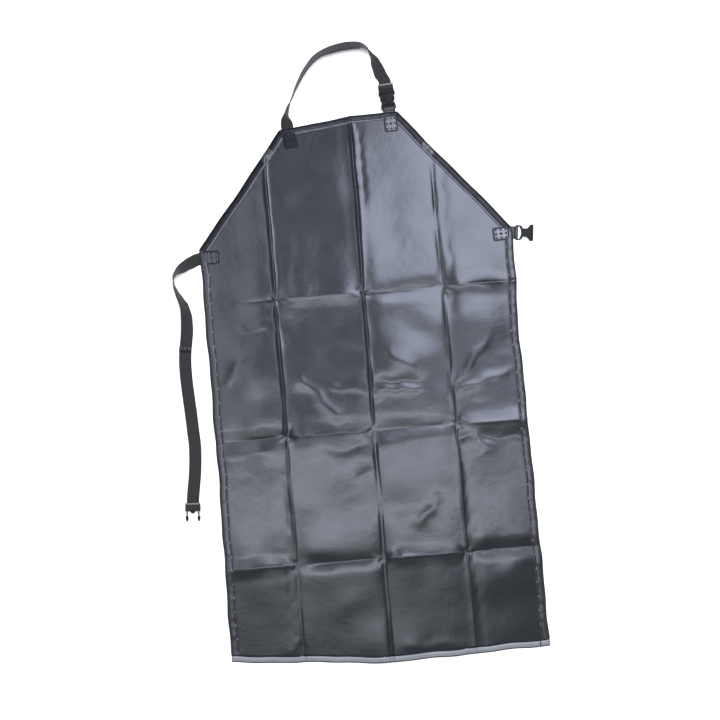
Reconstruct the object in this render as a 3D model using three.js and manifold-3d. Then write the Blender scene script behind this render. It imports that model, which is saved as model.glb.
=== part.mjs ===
// A work apron of PVC sheet lying on its back on a floor, with webbing straps and side-release buckles.
// Millimetres, +Z up, +X to the wearer's left as seen from the front, +Y from the hem to the neck.
import * as THREE from "three";
import { mergeVertices } from "three/addons/utils/BufferGeometryUtils.js";
import Module from "manifold-3d";

const wasm = await Module();
wasm.setup();

// Sizes of the apron
const skirtWidth = 648;
const apronLength = 1120;
const bibTopWidth = 242;
const bibDepth = 250;
const sheetThickness = 1.2;
const sideHemWidth = 17;
const topHemWidth = 15;
const bottomHemWidth = 15;
const hemThickness = 1.6;
const clearance = 0.3;

// Relief of the sheet: creases left by folding, and the corners held up by the webbing under them
const foldHeight = 6;
const shoulderHeight = 4;
const creaseReach = 14;
const shoulderReach = 42;
const swellHeight = 9;
const floorPress = 0.6;
const cornerLiftReach = 70;

// Webbing
const webWidth = 25;
const webThickness = 1.5;
const webUnderSheet = 34;
const webStep = 10;
const neckLoopRise = 159;
const waistStrapDrop = 497;
const waistStrapSwing = 60;
const doubledLength = 300;

// Stitched patches that hold the webbing
const patchWidth = 28;
const patchLength = 34;
const patchThickness = 2;
const patchCorner = 3;
const stitchPit = 1.6;
const stitchPitDepth = 0.8;
const stitchPitSides = 6;

// Side-release buckles
const railWidth = 2.2;
const slotPlay = 0.5;
const slotLength = 4;
const barLength = 2.5;
const barThickness = 2.2;
const baseBlockLength = 3;
const femaleLength = 35;
const femaleHeight = 8;
const plateThickness = 1.6;
const mouthFlare = 1.3;
const neckShare = 0.27;
const shoulderShare = 0.18;
const neckStartShare = 0.43;
const cavityShare = 0.46;
const gapWall = 2.5;
const prongLength = 21.5;
const prongPlay = 0.4;
const stemWidth = 2.2;
const barbWidth = 5.6;
const barbLength = 11;
const tongueLength = 5;
const tongueWidth = 6;
const tongueTipShare = 0.35;

// Places worked out from the sizes
const halfWidth = skirtWidth / 2;
const top = apronLength / 2;
const bottom = -top;
const waist = top - bibDepth;
const up = new THREE.Vector3(0, 0, 1);
const degree = Math.PI / 180;

// Outline of the sheet, clockwise from the neck's left corner
const outline = {
  neckLeft: { x: -0.57 * bibTopWidth, y: top - 0.068 * bibDepth },
  topMiddle: { x: 0.03 * bibTopWidth, y: top },
  neckRight: { x: 0.43 * bibTopWidth, y: top + 0.008 * bibDepth },
  waistRight: { x: 0.988 * halfWidth, y: waist - 0.013 * bibDepth },
  sideRight: { x: 0.977 * halfWidth, y: 0.21 * top },
  bottomRight: { x: 1.016 * halfWidth, y: 0.985 * bottom },
  bottomMiddle: { x: 0.008 * halfWidth, y: bottom },
  bottomLeft: { x: -0.997 * halfWidth, y: 0.954 * bottom },
  sideLeft: { x: -0.986 * halfWidth, y: 0.29 * bottom },
  waistLeft: { x: -0.991 * halfWidth, y: waist + 0.012 * bibDepth },
};
const outlineNames = Object.keys(outline);

// Folds that run from neck to hem: place and lean, and the height in each band as a share of foldHeight.
// A positive share is a ridge and a negative one a groove.
const uprightFolds = [
  { across: -0.537, lean: 0.0, bib: 0.9, chest: 1.0, lap: 0.4, skirt: -0.6 },
  { across: 0.018, lean: 0.003, bib: 1.1, chest: 0.9, lap: -0.5, skirt: -0.9 },
  { across: 0.527, lean: -0.011, bib: -0.5, chest: 0.8, lap: 0.8, skirt: 0.7 },
];

// Folds that run across: place as a share of half the length, and the height in each column between the
// upright folds
const levelFolds = [
  { along: 0.355, outerLeft: -0.6, innerLeft: 0.7, innerRight: -0.6, outerRight: 0.9 },
  { along: -0.15, outerLeft: -0.9, innerLeft: 0.8, innerRight: -0.8, outerRight: 1.1 },
  { along: -0.618, outerLeft: 0.9, innerLeft: -0.8, innerRight: 1.0, outerRight: -0.9 },
];

// Broad swells of the sheet between the folds
const swells = [
  { across: -0.2, along: 0.6, reach: 0.24, height: 0.9 },
  { across: 0.74, along: 0.2, reach: 0.2, height: 0.5 },
  { across: -0.75, along: 0.08, reach: 0.2, height: 0.5 },
  { across: 0.02, along: -1.0, reach: 0.2, height: 1.5 },
  { across: 0.25, along: 0.1, reach: 0.2, height: 0.6 },
];

// Webbing ends: how many webbing widths from a corner each strap leaves the edge, which way it points there,
// and how far it lifts the sheet
const singleLift = webThickness + 3 * clearance;
const doubleLift = 2 * webThickness + 4 * clearance;
const anchors = {
  neckLeft: { from: "neckLeft", to: "topMiddle", widths: 0.62, out: 97, lift: singleLift },
  neckRight: { from: "neckRight", to: "topMiddle", widths: 0.62, out: 94, lift: doubleLift },
  waistRight: { from: "waistRight", to: "sideRight", widths: 0.38, out: -6, lift: doubleLift },
  waistLeft: { from: "waistLeft", to: "sideLeft", widths: 0.74, out: 164, lift: singleLift },
};
for (const anchor of Object.values(anchors)) {
  const start = outline[anchor.from];
  const end = outline[anchor.to];
  const share = anchor.widths * webWidth / Math.hypot(end.x - start.x, end.y - start.y);
  anchor.x = start.x + (end.x - start.x) * share;
  anchor.y = start.y + (end.y - start.y) * share;
}

function between(low, high, value) {
  return Math.min(1, Math.max(0, (value - low) / (high - low)));
}

function eased(low, high, value) {
  const share = between(low, high, value);
  return share * share * (3 - 2 * share);
}

// Height of a fold where it passes from one band or column to the next
function foldShare(values, limits, place) {
  let share = values[0];
  limits.forEach((limit, index) => {
    const passed = eased(limit - shoulderReach, limit + shoulderReach, place);
    share += (values[index + 1] - values[index]) * passed;
  });
  return share;
}

function foldProfile(distance, share) {
  const shoulder = shoulderHeight * Math.exp(-((distance / shoulderReach) ** 2));
  const crease = foldHeight * share * Math.exp(-Math.abs(distance) / creaseReach);
  return Math.abs(share) * shoulder + crease;
}

// Height of the sheet's underside above the floor
function sheetLift(x, y) {
  const levels = levelFolds.map((fold) => fold.along * top);
  const uprights = uprightFolds.map((fold) => fold.across * halfWidth + fold.lean * y);
  let height = -floorPress;
  uprightFolds.forEach((fold, index) => {
    const shares = [fold.skirt, fold.lap, fold.chest, fold.bib];
    height += foldProfile(x - uprights[index], foldShare(shares, levels.slice().reverse(), y));
  });
  levelFolds.forEach((fold, index) => {
    const shares = [fold.outerLeft, fold.innerLeft, fold.innerRight, fold.outerRight];
    height += foldProfile(y - levels[index], foldShare(shares, uprights, x));
  });
  for (const swell of swells) {
    const reach = swell.reach * halfWidth;
    const distance = Math.hypot(x - swell.across * halfWidth, y - swell.along * top);
    height += swellHeight * swell.height * Math.exp(-((distance / reach) ** 2));
  }
  let held = 0;
  for (const anchor of Object.values(anchors)) {
    const distance = Math.hypot(x - anchor.x, y - anchor.y);
    held = Math.max(held, anchor.lift * (1 - eased(cornerLiftReach, 2 * cornerLiftReach, distance)));
  }
  return Math.max(0, height, held);
}

// Grid lines of the sheet: close together at each fold and wider apart between them
const foldOffsets = [-2.2, -0.8, 0, 0.8, 2.2].map((share) => share * creaseReach);
const edgeMargin = 14;

function gridLines(folds, low, high, widest) {
  const lines = [low, high];
  for (const fold of folds) {
    lines.push(...foldOffsets.map((offset) => fold + offset));
  }
  lines.sort((a, b) => a - b);
  const filled = [lines[0]];
  for (let index = 1; index < lines.length; index += 1) {
    const span = lines[index] - lines[index - 1];
    const parts = Math.max(1, Math.round(span / widest));
    for (let part = 1; part <= parts; part += 1) {
      filled.push(lines[index - 1] + span * part / parts);
    }
  }
  return filled;
}

const widestCell = 42;
const acrossLines = gridLines(
  uprightFolds.map((fold) => fold.across * halfWidth),
  -halfWidth - edgeMargin, halfWidth + edgeMargin, widestCell,
);
const alongLines = gridLines(
  levelFolds.map((fold) => fold.along * top),
  bottom - edgeMargin, top + edgeMargin, widestCell,
);

// Lean of the grid at one line across, so that the lines follow the upright folds
function leanAt(across) {
  const stops = [
    { across: -1, lean: 0 },
    ...uprightFolds,
    { across: 1, lean: 0 },
  ];
  const share = across / halfWidth;
  let lean = 0;
  for (let index = 1; index < stops.length; index += 1) {
    const low = stops[index - 1];
    const high = stops[index];
    if (share >= low.across && share <= high.across) {
      lean = low.lean + (high.lean - low.lean) * between(low.across, high.across, share);
    }
  }
  return lean;
}

function bufferGeometry(points, triangles) {
  const geometry = new THREE.BufferGeometry();
  geometry.setAttribute("position", new THREE.Float32BufferAttribute(points, 3));
  geometry.setIndex(triangles);
  return geometry;
}

// A three.js geometry as a solid that can be joined and cut
function solid(geometry) {
  geometry.deleteAttribute("normal");
  geometry.deleteAttribute("uv");
  const merged = mergeVertices(geometry, 1e-4);
  return new wasm.Manifold(new wasm.Mesh({
    numProp: 3,
    vertProperties: new Float32Array(merged.attributes.position.array),
    triVerts: new Uint32Array(merged.index.array),
  }));
}

function geometryOf(body) {
  const mesh = body.getMesh();
  const geometry = bufferGeometry(Array.from(mesh.vertProperties), Array.from(mesh.triVerts));
  geometry.computeVertexNormals();
  return geometry;
}

// A slab that follows the sheet, between two heights measured from the sheet's underside
function layer(low, high) {
  const points = [];
  const triangles = [];
  const columns = acrossLines.length;
  const rows = alongLines.length;
  for (const level of [low, high]) {
    for (const along of alongLines) {
      for (const across of acrossLines) {
        const x = across + leanAt(across) * along;
        points.push(x, along, sheetLift(x, along) + level);
      }
    }
  }
  const at = (side, row, column) => (side * rows + row) * columns + column;
  for (let row = 0; row + 1 < rows; row += 1) {
    for (let column = 0; column + 1 < columns; column += 1) {
      for (const side of [0, 1]) {
        const a = at(side, row, column);
        const b = at(side, row, column + 1);
        const c = at(side, row + 1, column + 1);
        const d = at(side, row + 1, column);
        triangles.push(...(side ? [a, b, c, a, c, d] : [a, c, b, a, d, c]));
      }
    }
  }
  const border = [];
  for (let column = 0; column + 1 < columns; column += 1) border.push([0, column]);
  for (let row = 0; row + 1 < rows; row += 1) border.push([row, columns - 1]);
  for (let column = columns - 1; column > 0; column -= 1) border.push([rows - 1, column]);
  for (let row = rows - 1; row > 0; row -= 1) border.push([row, 0]);
  border.forEach(([row, column], index) => {
    const [nextRow, nextColumn] = border[(index + 1) % border.length];
    const a = at(0, row, column);
    const b = at(0, nextRow, nextColumn);
    const c = at(1, nextRow, nextColumn);
    const d = at(1, row, column);
    triangles.push(a, b, c, a, c, d);
  });
  return solid(bufferGeometry(points, triangles));
}

const prismReach = 200;
const curveSegments = 5;

function extruded(shape, low, high) {
  const options = { depth: high - low, bevelEnabled: false, curveSegments };
  const geometry = new THREE.ExtrudeGeometry(shape, options);
  geometry.translate(0, 0, low);
  return geometry;
}

function polygon(points) {
  return new THREE.Shape(points.map((point) => new THREE.Vector2(point.x, point.y)));
}

function prism(points) {
  return solid(extruded(polygon(points), -prismReach, prismReach));
}

// Point where two lines cross, each given by a point and a direction
function crossing(a, along, b, beside) {
  const turn = along.x * beside.y - along.y * beside.x;
  const share = ((b.x - a.x) * beside.y - (b.y - a.y) * beside.x) / turn;
  return { x: a.x + along.x * share, y: a.y + along.y * share };
}

function edgeOf(index) {
  const start = outline[outlineNames[index]];
  const end = outline[outlineNames[(index + 1) % outlineNames.length]];
  const length = Math.hypot(end.x - start.x, end.y - start.y);
  return { start, x: (end.x - start.x) / length, y: (end.y - start.y) / length };
}

// Hem width along each edge of the outline, in the outline's order
const edgeHems = [
  topHemWidth, topHemWidth, sideHemWidth, sideHemWidth, sideHemWidth,
  bottomHemWidth, bottomHemWidth, sideHemWidth, sideHemWidth, sideHemWidth,
];

// Inner corner of the hems at each corner of the outline
const innerCorners = outlineNames.map((name, index) => {
  const before = (index + outlineNames.length - 1) % outlineNames.length;
  const inward = [before, index].map((edge) => {
    const { start, x, y } = edgeOf(edge);
    return { x: start.x + y * edgeHems[edge], y: start.y - x * edgeHems[edge] };
  });
  const first = edgeOf(before);
  const second = edgeOf(index);
  return crossing(inward[0], first, inward[1], second);
});

const mitreGap = 0.5;

// A hem strip runs along one or two edges and is mitred at its ends
function hemStrip(firstName, edges) {
  const first = outlineNames.indexOf(firstName);
  const outer = [];
  const inner = [];
  for (let step = 0; step <= edges; step += 1) {
    const index = (first + step) % outlineNames.length;
    const shift = step === 0 ? mitreGap : step === edges ? -mitreGap : 0;
    const edge = edgeOf(step === 0 ? first : (first + step - 1) % outlineNames.length);
    const shifted = (corner) => ({ x: corner.x + edge.x * shift, y: corner.y + edge.y * shift });
    outer.push(shifted(outline[outlineNames[index]]));
    inner.push(shifted(innerCorners[index]));
  }
  return [...outer, ...inner.reverse()];
}

// Distance of each patch from the edge, and the direction it faces in degrees
const patches = {
  patch_neck_left: { anchor: anchors.neckLeft, inset: 6, turn: 99 },
  patch_neck_right: { anchor: anchors.neckRight, inset: 6, turn: 92 },
  patch_waist_right: { anchor: anchors.waistRight, inset: 7, turn: 3 },
  patch_waist_left: { anchor: anchors.waistLeft, inset: 5, turn: 181 },
};

function cutCornerPlate(width, length, corner, grow) {
  const side = width / 2 + grow;
  const end = length / 2 + grow;
  return polygon([
    { x: -side + corner, y: -end }, { x: side - corner, y: -end },
    { x: side, y: -end + corner }, { x: side, y: end - corner },
    { x: side - corner, y: end }, { x: -side + corner, y: end },
    { x: -side, y: end - corner }, { x: -side, y: -end + corner },
  ]);
}

// Moves a geometry made along +Y to its patch, with +Y pointing out over the edge of the sheet
function placed(geometry, patch, inward, aside) {
  geometry.translate(aside, -patch.inset - patchLength / 2 - inward, 0);
  geometry.rotateZ((patch.turn - 90) * degree);
  geometry.translate(patch.anchor.x, patch.anchor.y, 0);
  return geometry;
}

function patchPrism(patch, grow) {
  const plate = cutCornerPlate(patchWidth, patchLength, patchCorner, grow);
  return solid(placed(extruded(plate, -prismReach, prismReach), patch, 0, 0));
}

const pitShares = [-0.3, 0, 0.3];
const onSheet = sheetThickness + clearance;

// A patch follows the sheet and has three rows of three stitched pits
function patchPlate(patch) {
  let plate = layer(onSheet, onSheet + patchThickness).intersect(patchPrism(patch, 0));
  for (const acrossShare of pitShares) {
    for (const alongShare of pitShares) {
      const pit = new THREE.CylinderGeometry(stitchPit, stitchPit, 2 * stitchPitDepth, stitchPitSides);
      pit.rotateX(Math.PI / 2);
      placed(pit, patch, alongShare * patchLength, acrossShare * patchWidth);
      pit.computeBoundingBox();
      const centre = pit.boundingBox.getCenter(new THREE.Vector3());
      pit.translate(0, 0, sheetLift(centre.x, centre.y) + onSheet + patchThickness);
      plate = plate.subtract(solid(pit));
    }
  }
  return plate;
}

// A strip of webbing through stations that each hold a place and the direction across the strip
function webbing(stations) {
  const points = [];
  const triangles = [];
  stations.forEach((station, index) => {
    const before = stations[Math.max(0, index - 1)].at;
    const after = stations[Math.min(stations.length - 1, index + 1)].at;
    const forward = after.clone().sub(before).normalize();
    const across = station.across.clone().multiplyScalar(webWidth / 2);
    const through = station.across.clone().cross(forward).normalize().multiplyScalar(webThickness / 2);
    for (const [side, face] of [[-1, -1], [1, -1], [1, 1], [-1, 1]]) {
      const corner = station.at.clone().addScaledVector(across, side).addScaledVector(through, face);
      points.push(corner.x, corner.y, corner.z);
    }
  });
  for (let index = 0; index + 1 < stations.length; index += 1) {
    for (let corner = 0; corner < 4; corner += 1) {
      const a = 4 * index + corner;
      const b = 4 * index + (corner + 1) % 4;
      triangles.push(a, a + 4, b + 4, a, b + 4, b);
    }
  }
  const last = 4 * (stations.length - 1);
  triangles.push(0, 1, 2, 0, 2, 3, last, last + 2, last + 1, last, last + 3, last + 2);
  return solid(bufferGeometry(points, triangles));
}

// Stations along a route on the floor whose points hold a place and a tilt about the route's own line
function floorStations(route) {
  const curve = new THREE.CatmullRomCurve3(
    route.map((point) => new THREE.Vector3(point.x, point.y, 0)), false, "centripetal",
  );
  const count = Math.round(curve.getLength() / webStep);
  const stations = [];
  for (let index = 0; index <= count; index += 1) {
    const place = curve.getUtoTmapping(index / count);
    const at = curve.getPoint(place);
    const forward = curve.getTangent(place);
    const segment = Math.min(route.length - 2, Math.floor(place * (route.length - 1)));
    const share = eased(0, 1, place * (route.length - 1) - segment);
    const tilt = degree * THREE.MathUtils.lerp(route[segment].tilt, route[segment + 1].tilt, share);
    const leftward = new THREE.Vector3(-forward.y, forward.x, 0);
    const across = leftward.multiplyScalar(Math.cos(tilt)).addScaledVector(up, Math.sin(tilt));
    at.z = webWidth / 2 * Math.abs(Math.sin(tilt)) + webThickness / 2 * Math.abs(Math.cos(tilt));
    stations.push({ at, across });
  }
  return stations;
}

// Stations in a buckle's own frame: a path of places along the buckle and heights, all across it
function buckleStations(pose, path) {
  const across = new THREE.Vector3(Math.cos(pose.turn), Math.sin(pose.turn), 0);
  const forward = new THREE.Vector3(-Math.sin(pose.turn), Math.cos(pose.turn), 0);
  return path.map(({ along, height }) => ({
    at: new THREE.Vector3(pose.x, pose.y, pose.base + height).addScaledVector(forward, along),
    across,
  }));
}

// Places along a buckle's own Y axis: the mouth is at zero, the female below it and the male's base above
const buckleHalf = webWidth / 2 + slotPlay + railWidth;
const baseFront = clearance + 0.2;
const innerSlot = baseFront + baseBlockLength;
const middleBar = innerSlot + slotLength;
const outerSlot = middleBar + barLength;
const endBar = outerSlot + slotLength;
const baseEnd = endBar + barLength;
const middleBarLow = webThickness + clearance;
const endBarLow = 2 * webThickness + 3 * clearance;
const prongLow = plateThickness + prongPlay;
const prongHigh = femaleHeight - plateThickness - prongPlay;
const femaleBarLow = webThickness + 3 * clearance;
const loopBarEnd = -femaleLength;
const loopBarFront = loopBarEnd + barLength;

function boxBetween(x0, x1, y0, y1, z0, z1) {
  const box = new THREE.BoxGeometry(x1 - x0, y1 - y0, z1 - z0);
  box.translate((x0 + x1) / 2, (y0 + y1) / 2, (z0 + z1) / 2);
  return solid(box);
}

function joined(bodies) {
  return bodies.reduce((whole, body) => whole.add(body));
}

// Corners of a barb: depth from its outer side as a share of its width, and place along it from the tip
const barbCorners = [
  { deep: 1, along: 0.82 },
  { deep: 0.86, along: 0.27 },
  { deep: 0.6, along: 0 },
  { deep: 0.25, along: 0.09 },
  { deep: 0, along: 0.5 },
  { deep: 0, along: 1 },
];

// One prong: a springy stem that ends in a barb, mirrored by side
function prong(side) {
  const outside = buckleHalf - prongPlay;
  const stemInside = outside - (barbWidth + stemWidth) / 2;
  const stemOutside = stemInside + stemWidth;
  const tip = baseFront - prongLength;
  const heel = tip + barbLength;
  const shape = polygon([
    { x: side * stemOutside, y: innerSlot },
    { x: side * stemInside, y: innerSlot },
    { x: side * stemInside, y: heel + clearance },
    ...barbCorners.map((corner) => ({
      x: side * (outside - barbWidth * corner.deep), y: tip + barbLength * corner.along,
    })),
    { x: side * stemOutside, y: heel + clearance },
  ]);
  return solid(extruded(shape, prongLow, prongHigh));
}

// The male half: a frame with two bars for the webbing, two prongs and a short tongue
function maleBuckle() {
  const railHigh = endBarLow + barThickness;
  const railInside = buckleHalf - railWidth;
  const parts = [
    boxBetween(-buckleHalf, -railInside, baseFront, baseEnd, clearance, railHigh),
    boxBetween(railInside, buckleHalf, baseFront, baseEnd, clearance, railHigh),
    boxBetween(-buckleHalf, buckleHalf, baseFront, innerSlot, middleBarLow, prongHigh + plateThickness),
    boxBetween(-buckleHalf, buckleHalf, middleBar, outerSlot, middleBarLow, middleBarLow + barThickness),
    boxBetween(-buckleHalf, buckleHalf, endBar, baseEnd, endBarLow, railHigh),
    prong(-1),
    prong(1),
  ];
  const tongueTip = tongueWidth * tongueTipShare;
  const tongue = polygon([
    { x: -tongueWidth, y: innerSlot }, { x: -tongueWidth, y: baseFront },
    { x: -tongueTip, y: baseFront - tongueLength }, { x: tongueTip, y: baseFront - tongueLength },
    { x: tongueWidth, y: baseFront }, { x: tongueWidth, y: innerSlot },
  ]);
  parts.push(solid(extruded(tongue, prongLow, prongHigh)));
  return joined(parts);
}

// The female half: a waisted body with a mouth for the prongs, and a bar behind a see-through gap
function femaleBuckle() {
  const mouthHalf = buckleHalf + mouthFlare;
  const neckHalf = 2 * buckleHalf * neckShare;
  const shoulder = -femaleLength * shoulderShare;
  const neckStart = -femaleLength * neckStartShare;
  const neckEnd = baseFront - prongLength - 2 * clearance;
  const armFoot = loopBarFront + slotLength;
  const holeHalf = webWidth / 2 + slotPlay;
  const body = new THREE.Shape();
  body.moveTo(mouthHalf, 0);
  body.lineTo(-mouthHalf, 0);
  body.lineTo(-mouthHalf, shoulder);
  body.quadraticCurveTo(-neckHalf, (shoulder + neckStart) / 2, -neckHalf, neckStart);
  body.lineTo(-neckHalf, neckEnd);
  body.quadraticCurveTo(-buckleHalf, neckEnd - 1, -buckleHalf, armFoot);
  body.lineTo(-buckleHalf, loopBarEnd);
  body.lineTo(buckleHalf, loopBarEnd);
  body.lineTo(buckleHalf, armFoot);
  body.quadraticCurveTo(buckleHalf, neckEnd - 1, neckHalf, neckEnd);
  body.lineTo(neckHalf, neckStart);
  body.quadraticCurveTo(neckHalf, (shoulder + neckStart) / 2, mouthHalf, shoulder);
  body.closePath();
  const whole = solid(extruded(body, 0, femaleHeight));
  const gap = new THREE.Shape();
  gap.moveTo(-holeHalf, loopBarFront);
  gap.lineTo(holeHalf, loopBarFront);
  gap.lineTo(holeHalf, armFoot);
  gap.quadraticCurveTo(neckHalf, neckEnd - gapWall, 0, neckEnd - gapWall);
  gap.quadraticCurveTo(-neckHalf, neckEnd - gapWall, -holeHalf, armFoot);
  gap.closePath();
  const cavityHalf = buckleHalf - prongPlay + clearance;
  const barRoom = femaleBarLow + barThickness;
  return whole
    .subtract(solid(extruded(gap, -clearance, femaleHeight + clearance)))
    .subtract(boxBetween(
      -cavityHalf, cavityHalf, -femaleLength * cavityShare, clearance,
      plateThickness, femaleHeight - plateThickness,
    ))
    .subtract(boxBetween(
      -buckleHalf - 1, buckleHalf + 1, loopBarEnd - 1, neckEnd - gapWall, barRoom, femaleHeight + 1,
    ))
    .subtract(boxBetween(
      -holeHalf, holeHalf, loopBarEnd - 1, loopBarFront + 1, -1, femaleBarLow,
    ));
}

// Poses of the buckles: the mouth's place on the floor plan, the turn of the way out, and the height
const loopShow = 7;

function femalePose(anchor, base) {
  const reach = loopShow + femaleLength;
  return {
    x: anchor.x + reach * Math.cos(anchor.out * degree),
    y: anchor.y + reach * Math.sin(anchor.out * degree),
    turn: (anchor.out - 90) * degree,
    base,
  };
}

const neckBuckle = femalePose(anchors.neckRight, webThickness + clearance);
const waistCatch = femalePose(anchors.waistRight, 0);
const waistTurn = -3.3 * degree;
const waistPlug = {
  x: anchors.waistLeft.x - 0.94 * waistStrapSwing,
  y: anchors.waistLeft.y - waistStrapDrop - baseEnd,
  turn: waistTurn,
  base: 0,
};

// Places on the middle line of a strap, as shares of the gap it bridges, with its tilt in degrees
const neckRoute = [
  { span: 0.0, rise: 0.03, tilt: 0 },
  { span: 0.012, rise: 0.2, tilt: 80 },
  { span: 0.075, rise: 0.39, tilt: 104 },
  { span: 0.15, rise: 0.58, tilt: 112 },
  { span: 0.235, rise: 0.75, tilt: 116 },
  { span: 0.355, rise: 0.9, tilt: 122 },
  { span: 0.5, rise: 0.97, tilt: 132 },
  { span: 0.645, rise: 1.0, tilt: 134 },
  { span: 0.755, rise: 0.995, tilt: 128 },
  { span: 0.825, rise: 0.96, tilt: 110 },
  { span: 0.872, rise: 0.865, tilt: 84 },
  { span: 0.92, rise: 0.725, tilt: 40 },
  { span: 0.96, rise: 0.59, tilt: 8 },
];

const waistRoute = [
  { out: 0.06, down: 0.001, tilt: 0 },
  { out: 0.28, down: 0.01, tilt: 4 },
  { out: 0.58, down: 0.028, tilt: 24 },
  { out: 0.9, down: 0.058, tilt: 62 },
  { out: 0.955, down: 0.09, tilt: 84 },
  { out: 0.885, down: 0.125, tilt: 98 },
  { out: 0.77, down: 0.158, tilt: 112 },
  { out: 0.655, down: 0.192, tilt: 128 },
  { out: 0.62, down: 0.246, tilt: 150 },
  { out: 0.68, down: 0.315, tilt: 172 },
  { out: 0.77, down: 0.376, tilt: 180 },
  { out: 0.81, down: 0.438, tilt: 180 },
  { out: 0.8, down: 0.52, tilt: 180 },
  { out: 0.75, down: 0.625, tilt: 180 },
  { out: 0.72, down: 0.707, tilt: 180 },
  { out: 0.7, down: 0.77, tilt: 180 },
  { out: 0.765, down: 0.872, tilt: 180 },
  { out: 0.87, down: 0.95, tilt: 180 },
];

function underSheet(anchor, depth) {
  const turn = anchor.out * degree;
  return { x: anchor.x - depth * Math.cos(turn), y: anchor.y - depth * Math.sin(turn), tilt: 0 };
}

// Height of a strap's middle over the floor, and over one strap below it
const firstPly = webThickness / 2;
const secondPly = firstPly + webThickness + clearance;
const overBar = middleBarLow + barThickness + clearance + firstPly;
const barCentre = (middleBar + outerSlot) / 2;
const barWrap = barLength / 2 + clearance + firstPly;
const underEndBar = endBarLow - clearance - firstPly;

// The neck strap starts under the sheet, goes round the neck and over the middle bar of the buckle
function neckStrap() {
  const span = { x: neckBuckle.x, y: neckBuckle.y - anchors.neckLeft.y };
  const start = anchors.neckLeft;
  const route = [underSheet(start, webUnderSheet), underSheet(start, webUnderSheet / 2)];
  for (const point of neckRoute) {
    route.push({
      x: start.x + point.span * (span.x - start.x),
      y: start.y + point.rise * neckLoopRise,
      tilt: point.tilt,
    });
  }
  const below = firstPly - neckBuckle.base;
  const weave = buckleStations(neckBuckle, [
    { along: baseEnd + 9, height: below + 0.8 },
    { along: baseEnd + 3, height: below + 2 },
    { along: endBar + barLength / 2, height: underEndBar },
    { along: endBar - 0.6, height: underEndBar },
    { along: outerSlot + 0.4, height: overBar },
    { along: middleBar - 0.4, height: overBar },
    { along: middleBar - 1.7, height: overBar - 1.2 },
    { along: middleBar - 2.1, height: middleBarLow },
    { along: innerSlot + 1.1, height: below + 1 },
    { along: baseFront - 1, height: below },
    { along: -femaleLength * 0.5, height: below },
    { along: loopBarFront, height: below },
  ]);
  return webbing([...floorStations(route), ...weave]);
}

// The waist strap turns round the plug's middle bar and lies doubled on itself
function waistStrap() {
  const start = anchors.waistLeft;
  const route = [underSheet(start, webUnderSheet), underSheet(start, webUnderSheet / 2)];
  for (const point of waistRoute) {
    route.push({
      x: start.x - point.out * waistStrapSwing,
      y: start.y - point.down * waistStrapDrop,
      tilt: point.tilt,
    });
  }
  const strand = floorStations(route);
  const wrap = buckleStations(waistPlug, [
    { along: baseEnd + 4, height: firstPly },
    { along: outerSlot, height: firstPly },
    { along: barCentre - barWrap + 0.7, height: firstPly },
    { along: barCentre - barWrap - 0.3, height: 2 * firstPly },
    { along: barCentre - barWrap - 0.6, height: overBar - 2.2 },
    { along: barCentre - barWrap + 0.1, height: overBar - 0.45 },
    { along: barCentre - 0.9, height: overBar },
    { along: barCentre + 1.2, height: overBar },
    { along: outerSlot + 1.6, height: overBar - 1.05 },
    { along: endBar - 0.5, height: secondPly + 0.1 },
    { along: endBar, height: secondPly },
    { along: baseEnd + 4, height: secondPly },
  ]);
  for (const station of wrap) station.across.negate();
  const doubled = strand.slice(-Math.round(doubledLength / webStep)).reverse().map((station) => ({
    at: station.at.clone().setZ(secondPly),
    across: station.across,
  }));
  return webbing([...strand, ...wrap, ...doubled]);
}

// A short loop of sheet that holds a female half's bar and goes back under the apron's edge
function holdingLoop(pose) {
  const edge = loopBarEnd - loopShow;
  const barTop = femaleBarLow + barThickness + clearance + firstPly;
  const low = firstPly - pose.base;
  const under = femaleBarLow - clearance - firstPly;
  return webbing(buckleStations(pose, [
    { along: edge - webUnderSheet, height: low },
    { along: edge + 2, height: low },
    { along: loopBarEnd - 1, height: under },
    { along: loopBarFront - 0.2, height: under },
    { along: loopBarFront + 1.2, height: under + 1 },
    { along: loopBarFront + 1.5, height: (under + barTop) / 2 },
    { along: loopBarFront + 1.0, height: barTop - 1 },
    { along: loopBarFront - 0.2, height: barTop },
    { along: loopBarEnd - 0.5, height: barTop - 0.4 },
    { along: edge + 2, height: low + webThickness + clearance },
    { along: edge - webUnderSheet, height: low + webThickness + clearance },
  ]));
}

const materials = {
  sheet: new THREE.MeshStandardMaterial({ color: 0x24262c, roughness: 0.42, metalness: 0 }),
  hem: new THREE.MeshStandardMaterial({ color: 0x2a2c32, roughness: 0.45, metalness: 0 }),
  patch: new THREE.MeshStandardMaterial({ color: 0x33353d, roughness: 0.5, metalness: 0 }),
  web: new THREE.MeshStandardMaterial({ color: 0x1e1f20, roughness: 0.85, metalness: 0 }),
  buckle: new THREE.MeshStandardMaterial({ color: 0x141515, roughness: 0.4, metalness: 0 }),
};

const apron = new THREE.Group();

function addPiece(name, geometry, material, pose) {
  const piece = new THREE.Mesh(geometry, material);
  piece.name = name;
  if (pose) {
    piece.position.set(pose.x, pose.y, pose.base);
    piece.rotation.z = pose.turn;
  }
  apron.add(piece);
}

addPiece("apron_panel", geometryOf(layer(0, sheetThickness).intersect(
  prism(outlineNames.map((name) => outline[name])),
)), materials.sheet);

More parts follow.
